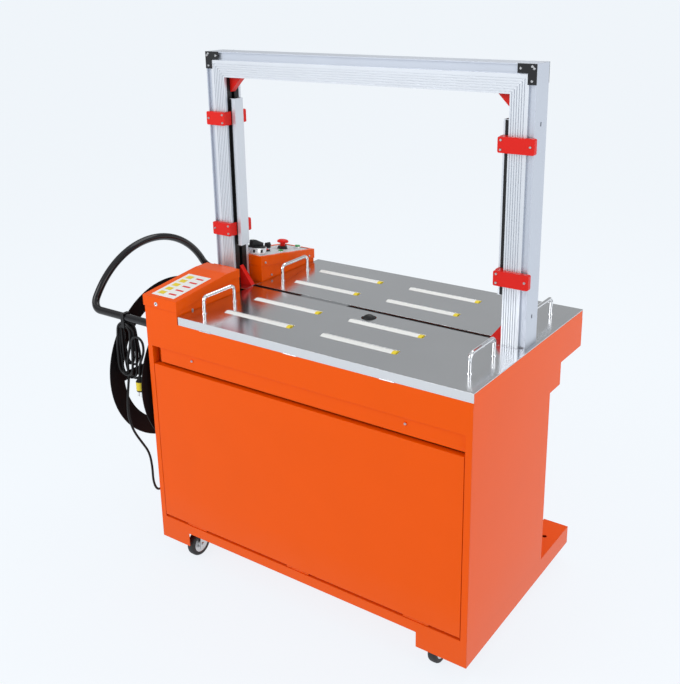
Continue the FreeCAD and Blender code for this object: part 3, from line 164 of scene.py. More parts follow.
# %% The recipe
def finish(name, colour, rough, metal=0.0, vary=0.06, wander=0.06, grain=300, stretch=(1, 1, 1), bump=0.03,
           edge=0.0008, coat=0.0, dust=0.0, shine=0.5):
    """A procedural material: varied colour and roughness, fine bump, softened edges."""
    material = bpy.data.materials.new(name)
    material.use_nodes = True
    tree = material.node_tree
    shader = tree.nodes["Principled BSDF"]
    shader.inputs["Metallic"].default_value = metal
    shader.inputs["Coat Weight"].default_value = coat
    shader.inputs["Coat Roughness"].default_value = 0.06
    shader.inputs["Specular IOR Level"].default_value = shine
    where = tree.nodes.new("ShaderNodeTexCoord")
    scaled = tree.nodes.new("ShaderNodeMapping")
    scaled.inputs["Scale"].default_value = stretch
    wide = tree.nodes.new("ShaderNodeTexNoise")
    wide.inputs["Scale"].default_value = 7
    wide.inputs["Detail"].default_value = 5
    fine = tree.nodes.new("ShaderNodeTexNoise")
    fine.inputs["Scale"].default_value = grain
    fine.inputs["Detail"].default_value = 3
    tint = tree.nodes.new("ShaderNodeMix")
    tint.data_type = "RGBA"
    dark = [c * (1 - vary * 2) for c in colour]
    light = [min(1, c * (1 + vary)) for c in colour]
    tint.inputs["A"].default_value = (*dark, 1)
    tint.inputs["B"].default_value = (*light, 1)
    gloss = tree.nodes.new("ShaderNodeMapRange")
    gloss.inputs["To Min"].default_value = max(0.02, rough - wander)
    gloss.inputs["To Max"].default_value = min(1, rough + wander)
    relief = tree.nodes.new("ShaderNodeBump")
    relief.inputs["Strength"].default_value = bump
    relief.inputs["Distance"].default_value = 0.001
    link = tree.links.new
    link(where.outputs["Object"], wide.inputs["Vector"])
    link(where.outputs["Object"], scaled.inputs["Vector"])
    link(scaled.outputs["Vector"], fine.inputs["Vector"])
    link(wide.outputs["Fac"], tint.inputs["Factor"])
    mixed = tree.nodes.new("ShaderNodeMath")
    mixed.operation = "MULTIPLY_ADD"
    mixed.inputs[1].default_value = 0.5
    link(fine.outputs["Fac"], mixed.inputs[0])
    halved = tree.nodes.new("ShaderNodeMath")
    halved.operation = "MULTIPLY"
    halved.inputs[1].default_value = 0.5
    link(wide.outputs["Fac"], halved.inputs[0])
    link(halved.outputs[0], mixed.inputs[2])
    link(mixed.outputs[0], gloss.inputs["Value"])
    link(gloss.outputs["Result"], shader.inputs["Roughness"])
    link(fine.outputs["Fac"], relief.inputs["Height"])
    if edge:
        rounded = tree.nodes.new("ShaderNodeBevel")
        rounded.samples = 4
        rounded.inputs["Radius"].default_value = edge
        link(rounded.outputs["Normal"], relief.inputs["Normal"])
    link(relief.outputs["Normal"], shader.inputs["Normal"])
    colour_out = tint.outputs["Result"]
    if dust:
        # dust settles low on the machine and scuffs it in patches
        height = tree.nodes.new("ShaderNodeSeparateXYZ")
        link(where.outputs["Object"], height.inputs["Vector"])
        low = tree.nodes.new("ShaderNodeMapRange")
        low.inputs["From Min"].default_value = 0.22
        low.inputs["From Max"].default_value = 0.04
        link(height.outputs["Z"], low.inputs["Value"])
        patch = tree.nodes.new("ShaderNodeMath")
        patch.operation = "MULTIPLY"
        link(low.outputs["Result"], patch.inputs[0])
        link(wide.outputs["Fac"], patch.inputs[1])
        amount = tree.nodes.new("ShaderNodeMath")
        amount.operation = "MULTIPLY"
        amount.inputs[1].default_value = dust
        link(patch.outputs[0], amount.inputs[0])
        dusty = tree.nodes.new("ShaderNodeMix")
        dusty.data_type = "RGBA"
        dusty.inputs["B"].default_value = (0.32, 0.28, 0.24, 1)
        link(amount.outputs[0], dusty.inputs["Factor"])
        link(colour_out, dusty.inputs["A"])
        colour_out = dusty.outputs["Result"]
    link(colour_out, shader.inputs["Base Color"])
    return material


# %% [markdown]
# ## The palette
# Sprayed orange sheet, a polished stainless table, anodised aluminium for the arch, red moulded clamps,
# chrome handles, and a few blacks that differ only in gloss: paint on the tube, moulding on the knobs,
# rubber on the tyres and the lead.

# %% The palette
orange = finish("orange_spray", (0.90, 0.100, 0.0), 0.22, vary=0.02, grain=420, bump=0.04, edge=0.0012,
                dust=0.10, shine=0.12)
steel = finish("polished_stainless", (0.72, 0.73, 0.75), 0.17, metal=1, wander=0.05, grain=60,
               stretch=(1, 30, 30), bump=0.02, vary=0.02)
ribbed = finish("anodised_aluminium", (0.74, 0.77, 0.82), 0.36, metal=0.60, grain=80, stretch=(20, 20, 1),
                bump=0.03, edge=0.0003, vary=0.03)
casing = finish("silver_casing", (0.60, 0.64, 0.72), 0.34, metal=0.50, grain=80, stretch=(20, 20, 1),
                vary=0.03)
red = finish("red_moulding", (0.78, 0.014, 0.008), 0.36, grain=900, bump=0.08, vary=0.05, shine=0.2)
black_paint = finish("black_gloss_paint", (0.010, 0.010, 0.012), 0.18, coat=0.1, grain=350, bump=0.04,
                     wander=0.04, shine=0.35)
reel_black = finish("reel_black", (0.006, 0.006, 0.007), 0.5, grain=500, bump=0.05, edge=0.0004, shine=0.15)
black_plastic = finish("black_moulding", (0.010, 0.010, 0.011), 0.42, grain=1100, bump=0.10, edge=0.0004,
                       shine=0.3)
rubber = finish("black_rubber", (0.017, 0.017, 0.018), 0.62, grain=900, bump=0.14, wander=0.08)
sheath = finish("lead_sheath", (0.008, 0.008, 0.009), 0.34, grain=700, bump=0.08, edge=0, shine=0.3)
chrome = finish("chrome", (0.86, 0.87, 0.89), 0.07, metal=1, vary=0.01, wander=0.03, bump=0.01, edge=0)
zinc = finish("zinc_plate", (0.62, 0.63, 0.64), 0.34, metal=1, vary=0.08, grain=160, bump=0.05)
white = finish("white_acetal", (0.84, 0.84, 0.82), 0.38, grain=700, bump=0.04, vary=0.02)
yellow = finish("yellow_moulding", (0.86, 0.66, 0.02), 0.40, grain=700, bump=0.05)
panel_grey = finish("panel_grey", (0.60, 0.62, 0.64), 0.44, grain=600, bump=0.05, vary=0.03)
silver = finish("satin_silver", (0.80, 0.81, 0.83), 0.28, metal=0.8, grain=200, bump=0.03)
green = finish("green_lens", (0.02, 0.36, 0.06), 0.22, grain=400, bump=0.02)
cast = finish("cast_iron", (0.22, 0.23, 0.24), 0.55, metal=0.4, grain=260, bump=0.5, vary=0.15)
motor_blue = finish("motor_paint", (0.03, 0.07, 0.16), 0.35, grain=300, bump=0.15)
paper = finish("label_paper", (0.86, 0.86, 0.84), 0.50, grain=800, bump=0.03, edge=0, vary=0.01)
print(len(bpy.data.materials), "finishes")

# %% Finishes on the solids
WEARS = {
    orange: ["cabinet_frame", "left_side_panel", "right_side_panel", "rear_panel", "front_frame", "grip_strip",
             "front_door", "door_hinges", "toolbox_base", "toolbox_lid", "control_box"],
    steel: ["table_front", "table_rear", "leg_base_plates"],
    ribbed: ["arch_profiles", "guard_bars"],
    casing: ["arch_channel"],
    red: ["arch_clamps", "corner_guides", "power_switch", "e_stop_button"],
    black_paint: ["push_handle", "reel_shaft", "arch_corner_plates"],
    reel_black: ["supply_reel"],
    black_plastic: ["strap_track", "main_dial", "mode_knob", "ball_switch", "cord_gland", "power_plug",
                    "hank_tie"],
    rubber: ["feed_roller"] + [n for n in NODES if n.startswith("caster_wheel")],
    chrome: ["table_handles_front", "table_handles_rear"],
    zinc: ["arch_screws", "strap_pool", "cam_shaft", "pressers", "idler_roller"]
    + [n for n in NODES if n.startswith("caster_fork")],
    white: [n for n in NODES if n.startswith("roller_")],
    panel_grey: ["control_panel"],
    silver: ["control_bezels"],
    green: ["start_button"],
    cast: ["head_frame"],
    motor_blue: ["drive_motor"],
    sheath: ["power_cord", "plug_lead", "cord_hank"],
}
dressed = 0
for material, names in WEARS.items():
    for name in names:
        solid = NODES[name]
        solid.data.materials.clear()
        solid.data.materials.append(material)
        dressed += 1
print(dressed, "of", len(NODES), "solids have a finish")

# %% [markdown]
# ## What repeats: Geometry Nodes
# Screws, roller caps and washers come in dozens. A node tree draws one of them from named sizes and sets it
# on every point of a small cloud, turned to the direction stored with the point. Realize Instances makes
# real geometry of them, and the evaluated result replaces the modifier, so each set ends as a plain mesh.

# %% The repeating tree
def named_input(tree, name, value):
    item = tree.interface.new_socket(name, in_out="INPUT", socket_type="NodeSocketFloat")
    item.default_value = value
    return item.identifier


def repeated(name, spots, body, material, sizes, draw, smooth=35):
    """Sets one small shape on every (point, facing) pair; draw(tree, inputs) returns its geometry."""
    cloud = bpy.data.meshes.new(name + "_points")
    cloud.from_pydata([tuple(p) for p, _ in spots], [], [])
    facing = cloud.attributes.new("facing", "FLOAT_VECTOR", "POINT")
    facing.data.foreach_set("vector", [c for _, way in spots for c in way])
    holder = bpy.data.objects.new(name + "_cloud", cloud)
    bpy.context.scene.collection.objects.link(holder)
    tree = bpy.data.node_groups.new(name + "_tree", "GeometryNodeTree")
    tree.interface.new_socket("Geometry", in_out="INPUT", socket_type="NodeSocketGeometry")
    keys = {size: named_input(tree, size, value) for size, value in sizes.items()}
    tree.interface.new_socket("Geometry", in_out="OUTPUT", socket_type="NodeSocketGeometry")
    entry, leave = tree.nodes.new("NodeGroupInput"), tree.nodes.new("NodeGroupOutput")
    shape = draw(tree, entry)
    read = tree.nodes.new("GeometryNodeInputNamedAttribute")
    read.data_type = "FLOAT_VECTOR"
    read.inputs["Name"].default_value = "facing"
    aim = tree.nodes.new("FunctionNodeAlignRotationToVector")
    aim.axis = "Z"
    put = tree.nodes.new("GeometryNodeInstanceOnPoints")
    real = tree.nodes.new("GeometryNodeRealizeInstances")
    dress = tree.nodes.new("GeometryNodeSetMaterial")
    dress.inputs["Material"].default_value = material
    link = tree.links.new
    link(read.outputs["Attribute"], aim.inputs["Vector"])
    link(entry.outputs["Geometry"], put.inputs["Points"])
    link(shape, put.inputs["Instance"])
    link(aim.outputs["Rotation"], put.inputs["Rotation"])
    link(put.outputs["Instances"], real.inputs["Geometry"])
    link(real.outputs["Geometry"], dress.inputs["Geometry"])
    link(dress.outputs["Geometry"], leave.inputs["Geometry"])
    modifier = holder.modifiers.new("repeat", "NODES")
    modifier.node_group = tree
    for size, value in sizes.items():
        modifier[keys[size]] = value
    ready = holder.evaluated_get(bpy.context.evaluated_depsgraph_get())
    mesh = bpy.data.meshes.new_from_object(ready)
    bpy.data.objects.remove(holder)
    mesh.name = name
    mesh.materials.clear()
    mesh.materials.append(material)
    mesh.shade_smooth()
    mesh.set_sharp_from_angle(angle=math.radians(smooth))
    obj = bpy.data.objects.new(name, mesh)
    bpy.context.scene.collection.objects.link(obj)
    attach(obj, body)
    print(name, len(spots), "copies,", len(mesh.polygons), "faces on", body)
    return obj


def raised(tree, geometry, height):
    """Moves a shape up its own axis by a socket's value."""
    lift = tree.nodes.new("ShaderNodeCombineXYZ")
    tree.links.new(height, lift.inputs["Z"])
    move = tree.nodes.new("GeometryNodeTransform")
    tree.links.new(geometry, move.inputs["Geometry"])
    tree.links.new(lift.outputs["Vector"], move.inputs["Translation"])
    return move.outputs["Geometry"]


def times(tree, socket, factor):
    node = tree.nodes.new("ShaderNodeMath")
    node.operation = "MULTIPLY"
    node.inputs[1].default_value = factor
    tree.links.new(socket, node.inputs[0])
    return node.outputs[0]


# %% [markdown]
# ### Button-head screws
# Each head is a low cone with a hexagon socket cut into it. The cut is made once, before the copying.

# %% Screws
def screw_head(tree, entry):
    head = tree.nodes.new("GeometryNodeMeshCone")
    head.inputs["Vertices"].default_value = 20
    tree.links.new(entry.outputs["Head radius"], head.inputs["Radius Bottom"])
    tree.links.new(times(tree, entry.outputs["Head radius"], 0.72), head.inputs["Radius Top"])
    tree.links.new(entry.outputs["Head height"], head.inputs["Depth"])
    socket = tree.nodes.new("GeometryNodeMeshCylinder")
    socket.inputs["Vertices"].default_value = 6
    tree.links.new(entry.outputs["Socket radius"], socket.inputs["Radius"])
    tree.links.new(entry.outputs["Head height"], socket.inputs["Depth"])
    hole = raised(tree, socket.outputs["Mesh"], times(tree, entry.outputs["Head height"], 0.9))
    cut = tree.nodes.new("GeometryNodeMeshBoolean")
    cut.operation = "DIFFERENCE"
    tree.links.new(head.outputs["Mesh"], cut.inputs["Mesh 1"])
    tree.links.new(hole, cut.inputs["Mesh 2"])
    return cut.outputs["Mesh"]


FRONT, BACK, LEFT, RIGHT, UP = (0, -1, 0), (0, 1, 0), (-1, 0, 0), (1, 0, 0), (0, 0, 1)
ARCH_LEFT, ARCH_RIGHT = 12, 988
CORNER_FACES = ((283, FRONT), (353, BACK))
CORNER_SCREWS = ((10.5, 6), (10.5, 38), (6, 10.5), (38, 10.5))
CLAMP_FACES = ((272, FRONT, 985), (364, BACK, 961))
CLAMP_LEVELS = (930, 1247)
arch_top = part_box("arch_channel")[1][2] * 1000
heads = []
for face_y, way in CORNER_FACES:
    for u, v in CORNER_SCREWS:
        for x in (ARCH_LEFT + u, ARCH_RIGHT - u):
            heads.append((at(x, face_y, arch_top - v), way))
for face_y, way, outer in CLAMP_FACES:
    for height in CLAMP_LEVELS:
        for x, v in ((72, 11), (72, -11), (22, 0), (913, 11), (913, -11), (outer, 0)):
            heads.append((at(x, face_y, height + v), way))
screws = repeated("arch_screw_heads", heads, "cabinet", zinc,
                  {"Head radius": 0.0034, "Head height": 0.0024, "Socket radius": 0.0017}, screw_head)
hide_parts("arch_screws")

small = [(at(160, 4, 640), FRONT), (at(827, 4, 640), FRONT),
         (at(120, 225, 778), RIGHT), (at(120, 60, 762), RIGHT), (at(122, 372, 815), RIGHT),
         (at(122, 585, 782), RIGHT), (at(120, 400, 770), RIGHT),
         (at(-2, 372, 815), LEFT), (at(-2, 585, 782), LEFT)]
FLANGE_FACE, FLANGE_Y, FLANGE_Z, FLANGE_RADIUS = -3, 229, 510, 33
for turn in range(6):
    angle = math.pi * turn / 3
    small.append((at(FLANGE_FACE, FLANGE_Y + FLANGE_RADIUS * math.cos(angle),
                     FLANGE_Z + FLANGE_RADIUS * math.sin(angle)), LEFT))
repeated("cover_screw_heads", small, "cabinet", zinc,
         {"Head radius": 0.0036, "Head height": 0.0022, "Socket radius": 0.0018}, screw_head)

# %% [markdown]
# ### Painted shade in the guard bars' slots
# Each inner bar gets a thin black strip beside its leg, which is painted shade standing in for the dark slot
# there. The edge towards the opening stays bright.

# %% Painted slot shade
bar_low, bar_high = (end * 1000 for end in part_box("guard_bars"))
SLOT_SHADE_SPANS, SLOT_SHADE_FACES = ((78, 5), (909.5, 12.5)), (301, 335)
slot_shade_strips = []
for left, width in SLOT_SHADE_SPANS:
    for face_y in SLOT_SHADE_FACES:
        middle = at(left + width / 2, face_y, 0) + Vector((0, 0, (bar_low[2] + bar_high[2]) / 2000))
        slot_shade_size = (width, 0.8, bar_high[2] - bar_low[2] - 2)
        # each black strip is painted shade where the slot beside the leg lies dark, not a black facing
        slot_shade_strips.append((block(slot_shade_size, standing(middle), 0.2, 1), black_plastic))
piece("guard_bar_slot_shade", slot_shade_strips, "cabinet")

# %% [markdown]
# ### Roller caps and handle washers
# The free-running rollers are white tube with a yellow cap at the right-hand end. The caps turn with their
# row, so each row gets a set of its own. The same ring serves as the washer under each chrome handle.

# %% Caps and washers
def plain_disc(tree, entry):
    disc = tree.nodes.new("GeometryNodeMeshCylinder")
    disc.inputs["Vertices"].default_value = 32
    tree.links.new(entry.outputs["Radius"], disc.inputs["Radius"])
    tree.links.new(entry.outputs["Thickness"], disc.inputs["Depth"])
    return disc.outputs["Mesh"]


ROWS = {"rollers_front_outer": 105.5, "rollers_front_inner": 228.5, "rollers_rear_outer": 534.5,
        "rollers_rear_inner": 411.5}
ROLLER_ENDS, CAP_INSET, AXLE_LEVEL = (425, 743), 5.5, 748
for body, y in ROWS.items():
    spots = [(at(x - CAP_INSET, y, AXLE_LEVEL), RIGHT) for x in ROLLER_ENDS]
    repeated(body + "_caps", spots, body, yellow, {"Radius": 0.0152, "Thickness": 0.0112}, plain_disc)

FEET = {"front_plate": [(162, 122), (941, 155)], "rear_plate": [(162, 460), (941, 491)]}
HALF_HANDLE, WASHER_LEVEL = 61, 760.8
for body, places in FEET.items():
    spots = [(at(x, y + side, WASHER_LEVEL), UP) for x, y in places for side in (-HALF_HANDLE, HALF_HANDLE)]
    repeated(body + "_washers", spots, body, chrome, {"Radius": 0.0078, "Thickness": 0.0016}, plain_disc)

# %% [markdown]
# ## The label on the tool box
# A white sheet is stuck to the sloping lid. It carries only plain blocks of colour, because a part in a
# library has no wording. The blocks are copies of one thin tile, a set for each colour, on the lid's slope.

# %% Label
lid_front, lid_crease = at(0, -2.5, 801.9), at(0, 205, 825.9)
slope = math.atan2(lid_crease.z - lid_front.z, lid_crease.y - lid_front.y)
TILT = Matrix.Rotation(slope, 4, "X")
LABEL_X, LABEL_UP_SLOPE = 60, 0.42
on_slope = lid_front + (lid_crease - lid_front) * LABEL_UP_SLOPE
label_middle = Vector((at(LABEL_X, 0, 0).x, 0, 0)) + on_slope * Vector((0, 1, 1))
lift = TILT @ Vector((0, 0, 1))
lid_up = tuple(lift)


def tile(tree, entry):
    slab = tree.nodes.new("GeometryNodeMeshCube")
    size = tree.nodes.new("ShaderNodeCombineXYZ")
    for axis, source in (("X", "Width"), ("Y", "Length"), ("Z", "Thickness")):
        tree.links.new(entry.outputs[source], size.inputs[axis])
    tree.links.new(size.outputs["Vector"], slab.inputs["Size"])
    return slab.outputs["Mesh"]


label_place = standing(label_middle + lift * 0.0003, TILT)
piece("lid_label", [(block((84, 148, 0.4), label_place, 0.1, 1), paper)], "lid")
LABEL_TILES = {"yellow": (yellow, -0.020, 0.022, 0.017), "red": (red, 0.018, 0.027, 0.007)}
LABEL_ROWS, ROW_PITCH, TILE_LIFT = (-2, -1, 0, 1, 2), 0.027, 0.0007
along = TILT @ Vector((0, 1, 0))
for colour, (material, across, width, length) in LABEL_TILES.items():
    spots = []
    for row in LABEL_ROWS:
        spot = label_middle + Vector((across, 0, 0)) + along * (ROW_PITCH * row) + lift * TILE_LIFT
        spots.append((spot, lid_up))
    repeated("label_tiles_" + colour, spots, "lid", material,
             {"Width": width, "Length": length, "Thickness": 0.0002}, tile)

# %% [markdown]
# ### The tool box lock
# A cam lock: a turned ring with a barrel set in it and a key slot.

# %% Lock
lock_place = standing(at(47, -2.5, 783), TO_FRONT)
piece("lid_lock", [
    (spun([(0, -0.4), (6, -0.4), (6, 1.2), (5.2, 2), (4.4, 2), (4.4, 1.2), (0, 1.2)], lock_place), chrome),
    (block((1.2, 6, 0.8), lock_place @ Matrix.Translation((0, 0, 1.4)), 0), black_plastic)], "lid")

# %% [markdown]
# ## The controls
# They stand square to the sloping panel. A big wedge knob sets the strap tension: it turns in a silver drum
# with two windows. Behind it are a red rocker, a black selector, the red stop mushroom in its black collar,
# and two small buttons. Each moving one rides on its own body, and the fixed collars stay with the cabinet.

# %% Panel helpers
LEAN = Matrix.Rotation(math.radians(-8.6), 4, "X")
PLACES = {"dial": (68, 40), "power": (60, 94), "mode": (34, 136), "stop": (58, 180), "start": (82, 226),
          "lamp": (88, 134), "reset": (30, 226)}
panel_zero = at(0, 354, 838)


def on_panel(name, rise):
    """The matrix that stands a shape on the panel, a rise above its face."""
    x, run = PLACES[name]
    return standing(panel_zero + (LEAN @ Vector((x, run, rise - 1.5))) / 1000, LEAN)


# %% Fixed collars
dial_base, stop_base = on_panel("dial", 0), on_panel("stop", 0)
fixed = [
    (spun([(0, 0.1), (31, 0.1), (31, 18), (30, 19.6), (28.8, 19.6), (28.5, 2), (5, 2), (5, 21.5), (0, 21.5)],
          dial_base, 64), silver),
    (spun([(8.4, 0.1), (16, 0.1), (15, 5), (13, 8.6), (8.5, 8.6), (8.4, 0.1)], stop_base, 48), black_plastic),
    (spun([(8.3, 0.1), (11, 0.1), (11, 4.8), (10, 5.8), (8.4, 5.8), (8.3, 0.1)], on_panel("start", 0)), chrome),
    (spun([(0, 0.1), (9, 0.1), (9, 2.5), (3, 3), (3, 13.6), (0, 13.6)], on_panel("mode", 0)), silver),
]
for lamp, lens in (("lamp", green), ("reset", black_plastic)):
    base = on_panel(lamp, 0)
    fixed.append((spun([(7.2, 0.1), (9, 0.1), (9, 2), (7.2, 2.4), (7.2, 0.1)], base), chrome))
    fixed.append((spun([(0, 0.1), (7, 0.1), (7, 4), (5.2, 5.6), (2.5, 6), (0, 6)], base), lens))
for side, size in (((-7.8, 0), (2.4, 24, 5)), ((7.8, 0), (2.4, 24, 5)), ((0, -10.8), (13.2, 2.4, 5)),
                   ((0, 10.8), (13.2, 2.4, 5))):
    shift = Matrix.Translation((side[0], side[1], 2.5))
    fixed.append((block(size, on_panel("power", 0) @ shift, 0.5, 2), black_plastic))
collars = piece("control_collars", fixed, "cabinet")
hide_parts("control_bezels")

# %% Drum windows and scale
windows = []
for turn in (-62, -18):
    spin = Matrix.Rotation(math.radians(turn), 4, "Z")
    window_place = dial_base @ spin @ Matrix.Translation((30.9, 0, 10.5))
    windows.append((block((1.2, 7, 9), window_place, 0.4, 2), black_plastic))
piece("drum_windows", windows, "cabinet")

TICKS, TICK_RADIUS, SCALE_START, SCALE_SWEEP = 25, 34, 60, 300
ticks = []
for k in range(TICKS):
    angle = math.radians(SCALE_START + SCALE_SWEEP * k / (TICKS - 1))
    spot = dial_base @ Vector((TICK_RADIUS * math.cos(angle), TICK_RADIUS * math.sin(angle), 0.25))
    ticks.append((spot, tuple(LEAN @ Vector((0, 0, 1)))))
repeated("dial_scale", ticks, "cabinet", black_plastic,
         {"Width": 0.0012, "Length": 0.0024, "Thickness": 0.0003}, tile)

plates = []
for name, size in (("mode", (30, 26)), ("power", (25, 32)), ("lamp", (24, 24))):
    plates.append((block((size[0], size[1], 0.3), on_panel(name, 0.2), 0.1, 1), silver))
piece("control_legends", plates, "cabinet")

# %% Knobs and buttons
dial = piece("tension_dial", [
    (spun([(5.1, 0), (27.2, 0), (27.5, 1), (27.5, 3.2), (26.6, 4), (5.1, 4), (5.1, 0)],
          on_panel("dial", 18.4), 64), black_plastic),
    (block((14, 0, 0), on_panel("dial", 18.4), 1.4, 3,
           [(-26, 3), (25.6, 3), (25.6, 12), (-10, 24), (-25, 24)]), black_plastic),
    (block((1.6, 14, 0.3), on_panel("dial", 18.4) @ Matrix.Translation((0, -17, 24.1)), 0.1, 1), paper)], "dial")
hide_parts("main_dial")

stop = piece("stop_mushroom", [
    (spun([(0, 0), (7.6, 0), (8, 0.6), (8, 13), (15, 13.2), (17.4, 14.4), (18, 16.2), (17.6, 18.6), (15.6, 21),
           (11.5, 23), (6, 23.9), (0, 24)], on_panel("stop", 6), 56), red)], "stop_button")
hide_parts("e_stop_button")

knob = piece("mode_selector", [
    (spun([(3.1, 0), (9.6, 0), (10, 0.6), (10, 11.6), (8.6, 13), (0, 13)], on_panel("mode", 3.8)),
     black_plastic),
    (block((5, 20.5, 6.4), on_panel("mode", 3.8) @ Matrix.Translation((0, 0, 12.8)), 0.9, 3), black_plastic),
    (block((1, 6, 0.3), on_panel("mode", 3.8) @ Matrix.Translation((0, -6, 16.1)), 0.1, 1), paper)], "selector")
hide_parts("mode_knob")

# %% [markdown]
# ## The casters
# A solid tyre on a moulded wheel, with a boss that keeps it off the fork's cheeks. The section is spun
# about the axle. Every wheel is a body of its own, because it rolls while its fork swivels.

# %% Wheels
WHEEL = [(4.1, -13.6), (9.5, -13.6), (11, -10.2), (22, -9.2), (25.5, -10.8), (25.5, 10.8), (22, 9.2), (11, 10.2),
         (9.5, 13.6), (4.1, 13.6), (4.1, -13.6)]
TYRE = [(25.5, -10.8), (32, -11.8), (35.6, -10.6), (37.2, -7.4), (37.5, -3), (37.5, 3), (37.2, 7.4), (35.6, 10.6),
        (32, 11.8), (25.5, 10.8), (25.5, -10.8)]
for name in [n for n in NODES if n.startswith("caster_wheel")]:
    low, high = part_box(name)
    centre = (Vector(low) + Vector(high)) / 2
    place = standing(centre, TO_X)
    body = name.replace("caster_wheel", "wheel")
    wheel = piece(name + "_tyred", [(spun(WHEEL, place, 48), zinc), (spun(TYRE, place, 64), rubber)], body)
    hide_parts(name)

# %% [markdown]
# ## The mains lead
# A black 7 mm lead leaves the left side through a ribbed gland, drops, turns up past the reel and is hung
# in a hank of loops, tied to the push handle. It ends in a plug that hangs beside the hank. A lead is one
# line, so it is one NURBS spline of order 3: its control points are the corners of the route. The loops
# are wound by a rule: out to the next column or layer each time they pass over the top.

# %% The route
LEAD = ((-26, 104, 252), (-51, 104, 252), (-73, 103, 222), (-74, 97, 182), (-70, 78, 152), (-67, 50, 152),
        (-66, 35, 188), (-71, 41, 236), (-80, 42, 280), (-88, 24, 318), (-92, 2, 360), (-95, -10, 404),
        (-97, -9, 452), (-99, 0, 496), (-101, 9.5, 534))
RISE = ((-102, 9.5, 566), (-98, 8.8, 592), (-89, 7.8, 612))
PLUG_LEAD = ((-74, 6, 622), (-74, 6, 646.3), (-67.7, 6, 657.1), (-56.9, 6, 663.4), (-44.3, 6, 663.4),
             (-33.5, 6, 657.1), (-27.2, 6, 646.3), (-27.2, 6, 624), (-38, 6, 600), (-52, 6, 573), (-52, 6, 543))
HANK_X, HANK_Y, TOP_BEND, LEVEL, WIDE = -103, 17, 666.0, 29.0, 7.4
SPREAD_DROP, LOOP_GAP, FIRST_START, NEXT_START = 110, 0.2, 640, 618
SHIFT_AT = ((140, 170), (110, 145), (80, 115), (45, 85), (10, 50))
COLUMN = ((-1, 0), (0, 1), (1, 1), (1, 0), (0, -1))
LAYER = ((0, 0), (0, 0), (0, 1), (1, 1), (1, 1))
LOW_BEND = ((590, 0), (582, 2), (546, 5), (553, 4), (566, 3))


def eased(value, low, high):
    t = min(1, max(0, (value - low) / (high - low)))
    return t * t * (3 - 2 * t)


def loop_point(turn, angle, z=None):
    """A point of a loop: angle 0 is its right side, 90 its top, 180 its left side, 270 its bottom."""
    moved = eased(angle, *SHIFT_AT[turn])
    column = COLUMN[turn][0] * (1 - moved) + COLUMN[turn][1] * moved
    layer = LAYER[turn][0] * (1 - moved) + LAYER[turn][1] * moved
    radius = LEVEL - WIDE * (1 - layer)
    low, bulge = LOW_BEND[turn]
    centre = TOP_BEND if angle <= 180 and z is None else low
    swing = math.radians(angle)
    x = HANK_X + radius * math.cos(swing)
    height = centre + radius * math.sin(swing) if z is None else z
    down = min(1, max(0, (TOP_BEND - height) / SPREAD_DROP))
    if z is not None:
        x += math.copysign(bulge * math.sin(math.pi * eased(height, low, TOP_BEND)), math.cos(swing))
    y = HANK_Y + column * (WIDE + LOOP_GAP + WIDE * down)
    return (x, y, height)


route = list(LEAD) + list(RISE)
for turn in range(5):
    start = FIRST_START if turn == 0 else NEXT_START
    low = LOW_BEND[turn][0]
    route += [loop_point(turn, 0, z) for z in (start, start + (TOP_BEND - start) * 0.55)]
    route += [loop_point(turn, angle) for angle in range(0, 181, 15)]
    span = TOP_BEND - low
    route += [loop_point(turn, 180, TOP_BEND - span * part) for part in (0.25, 0.5, 0.75)]
    route += [loop_point(turn, angle) for angle in (181, 210, 240, 270, 300, 330, 359)]
    if turn < 4:
        route += [loop_point(turn, 360, low + (NEXT_START - low) * part) for part in (0.4, 0.8)]
route += list(PLUG_LEAD)
print(len(route), "control points in the lead")

# %% The lead
curve = bpy.data.curves.new("mains_lead", "CURVE")
curve.dimensions = "3D"
curve.bevel_depth = 0.0035
curve.bevel_resolution = 4
curve.resolution_u = 6
curve.use_fill_caps = True
spline = curve.splines.new("NURBS")
spline.points.add(len(route) - 1)
for point, (x, y, z) in zip(spline.points, route):
    point.co = (*at(x, y, z), 1)
spline.order_u = 3
spline.use_endpoint_u = True
curve.materials.append(sheath)
lead = bpy.data.objects.new("mains_lead", curve)
bpy.context.scene.collection.objects.link(lead)
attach(lead, "cabinet")
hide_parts("power_cord", "cord_hank", "plug_lead")

# %% Gland and plug
gland_place = standing(at(0, 104, 252), Matrix.Rotation(math.radians(-90), 4, "Y"))
rings = [(4.2, 25.9)]
for k in range(5):
    height = 24.4 - 3 * k
    rings += [(4.6 + 0.75 * k, height), (5.6 + 0.75 * k, height - 0.4), (5.6 + 0.75 * k, height - 1.8),
              (4.8 + 0.8 * k, height - 2.2)]
rings += [(9, 8), (11, 7.6), (11, 0), (0, 0)]
gland = piece("lead_gland", [(spun([(0, 25.9)] + rings, gland_place), black_plastic)], "cabinet")
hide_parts("cord_gland")

plug_place = standing(at(-52, 6, 483))
boot = [(0, 60), (4.4, 60)]
for k in range(3):
    height = 57.5 - 3 * k
    boot += [(5 + 1.4 * k, height), (6.4 + 1.6 * k, height - 0.5), (6.4 + 1.6 * k, height - 1.8),
             (5.6 + 1.5 * k, height - 2.2)]
body_outline = boot + [(11.4, 48.4), (12, 46), (11.2, 38), (11.2, 30), (12, 24), (12, 18),
                       (11.2, 16.4), (0, 16.4)]
pins = [(block((6, 2, 17), plug_place @ Matrix.Translation((dx, dy, 8.6)), 0.5, 2), chrome)
        for dx, dy in ((0, 6), (-6, -4), (6, -4))]
tag = []
steps = 12
TAG_RADIUS, TAG_START, TAG_SWEEP = 12.4, -160, 140
for height in (21, 46):
    for k in range(steps + 1):
        angle = math.radians(TAG_START + TAG_SWEEP * k / steps)
        tag.append(plug_place @ Vector((TAG_RADIUS * math.cos(angle), TAG_RADIUS * math.sin(angle), height)))
tag_faces = [[k, k + 1, steps + 2 + k, steps + 1 + k] for k in range(steps)]
plug_body = (spun(body_outline, plug_place, 32), black_plastic)
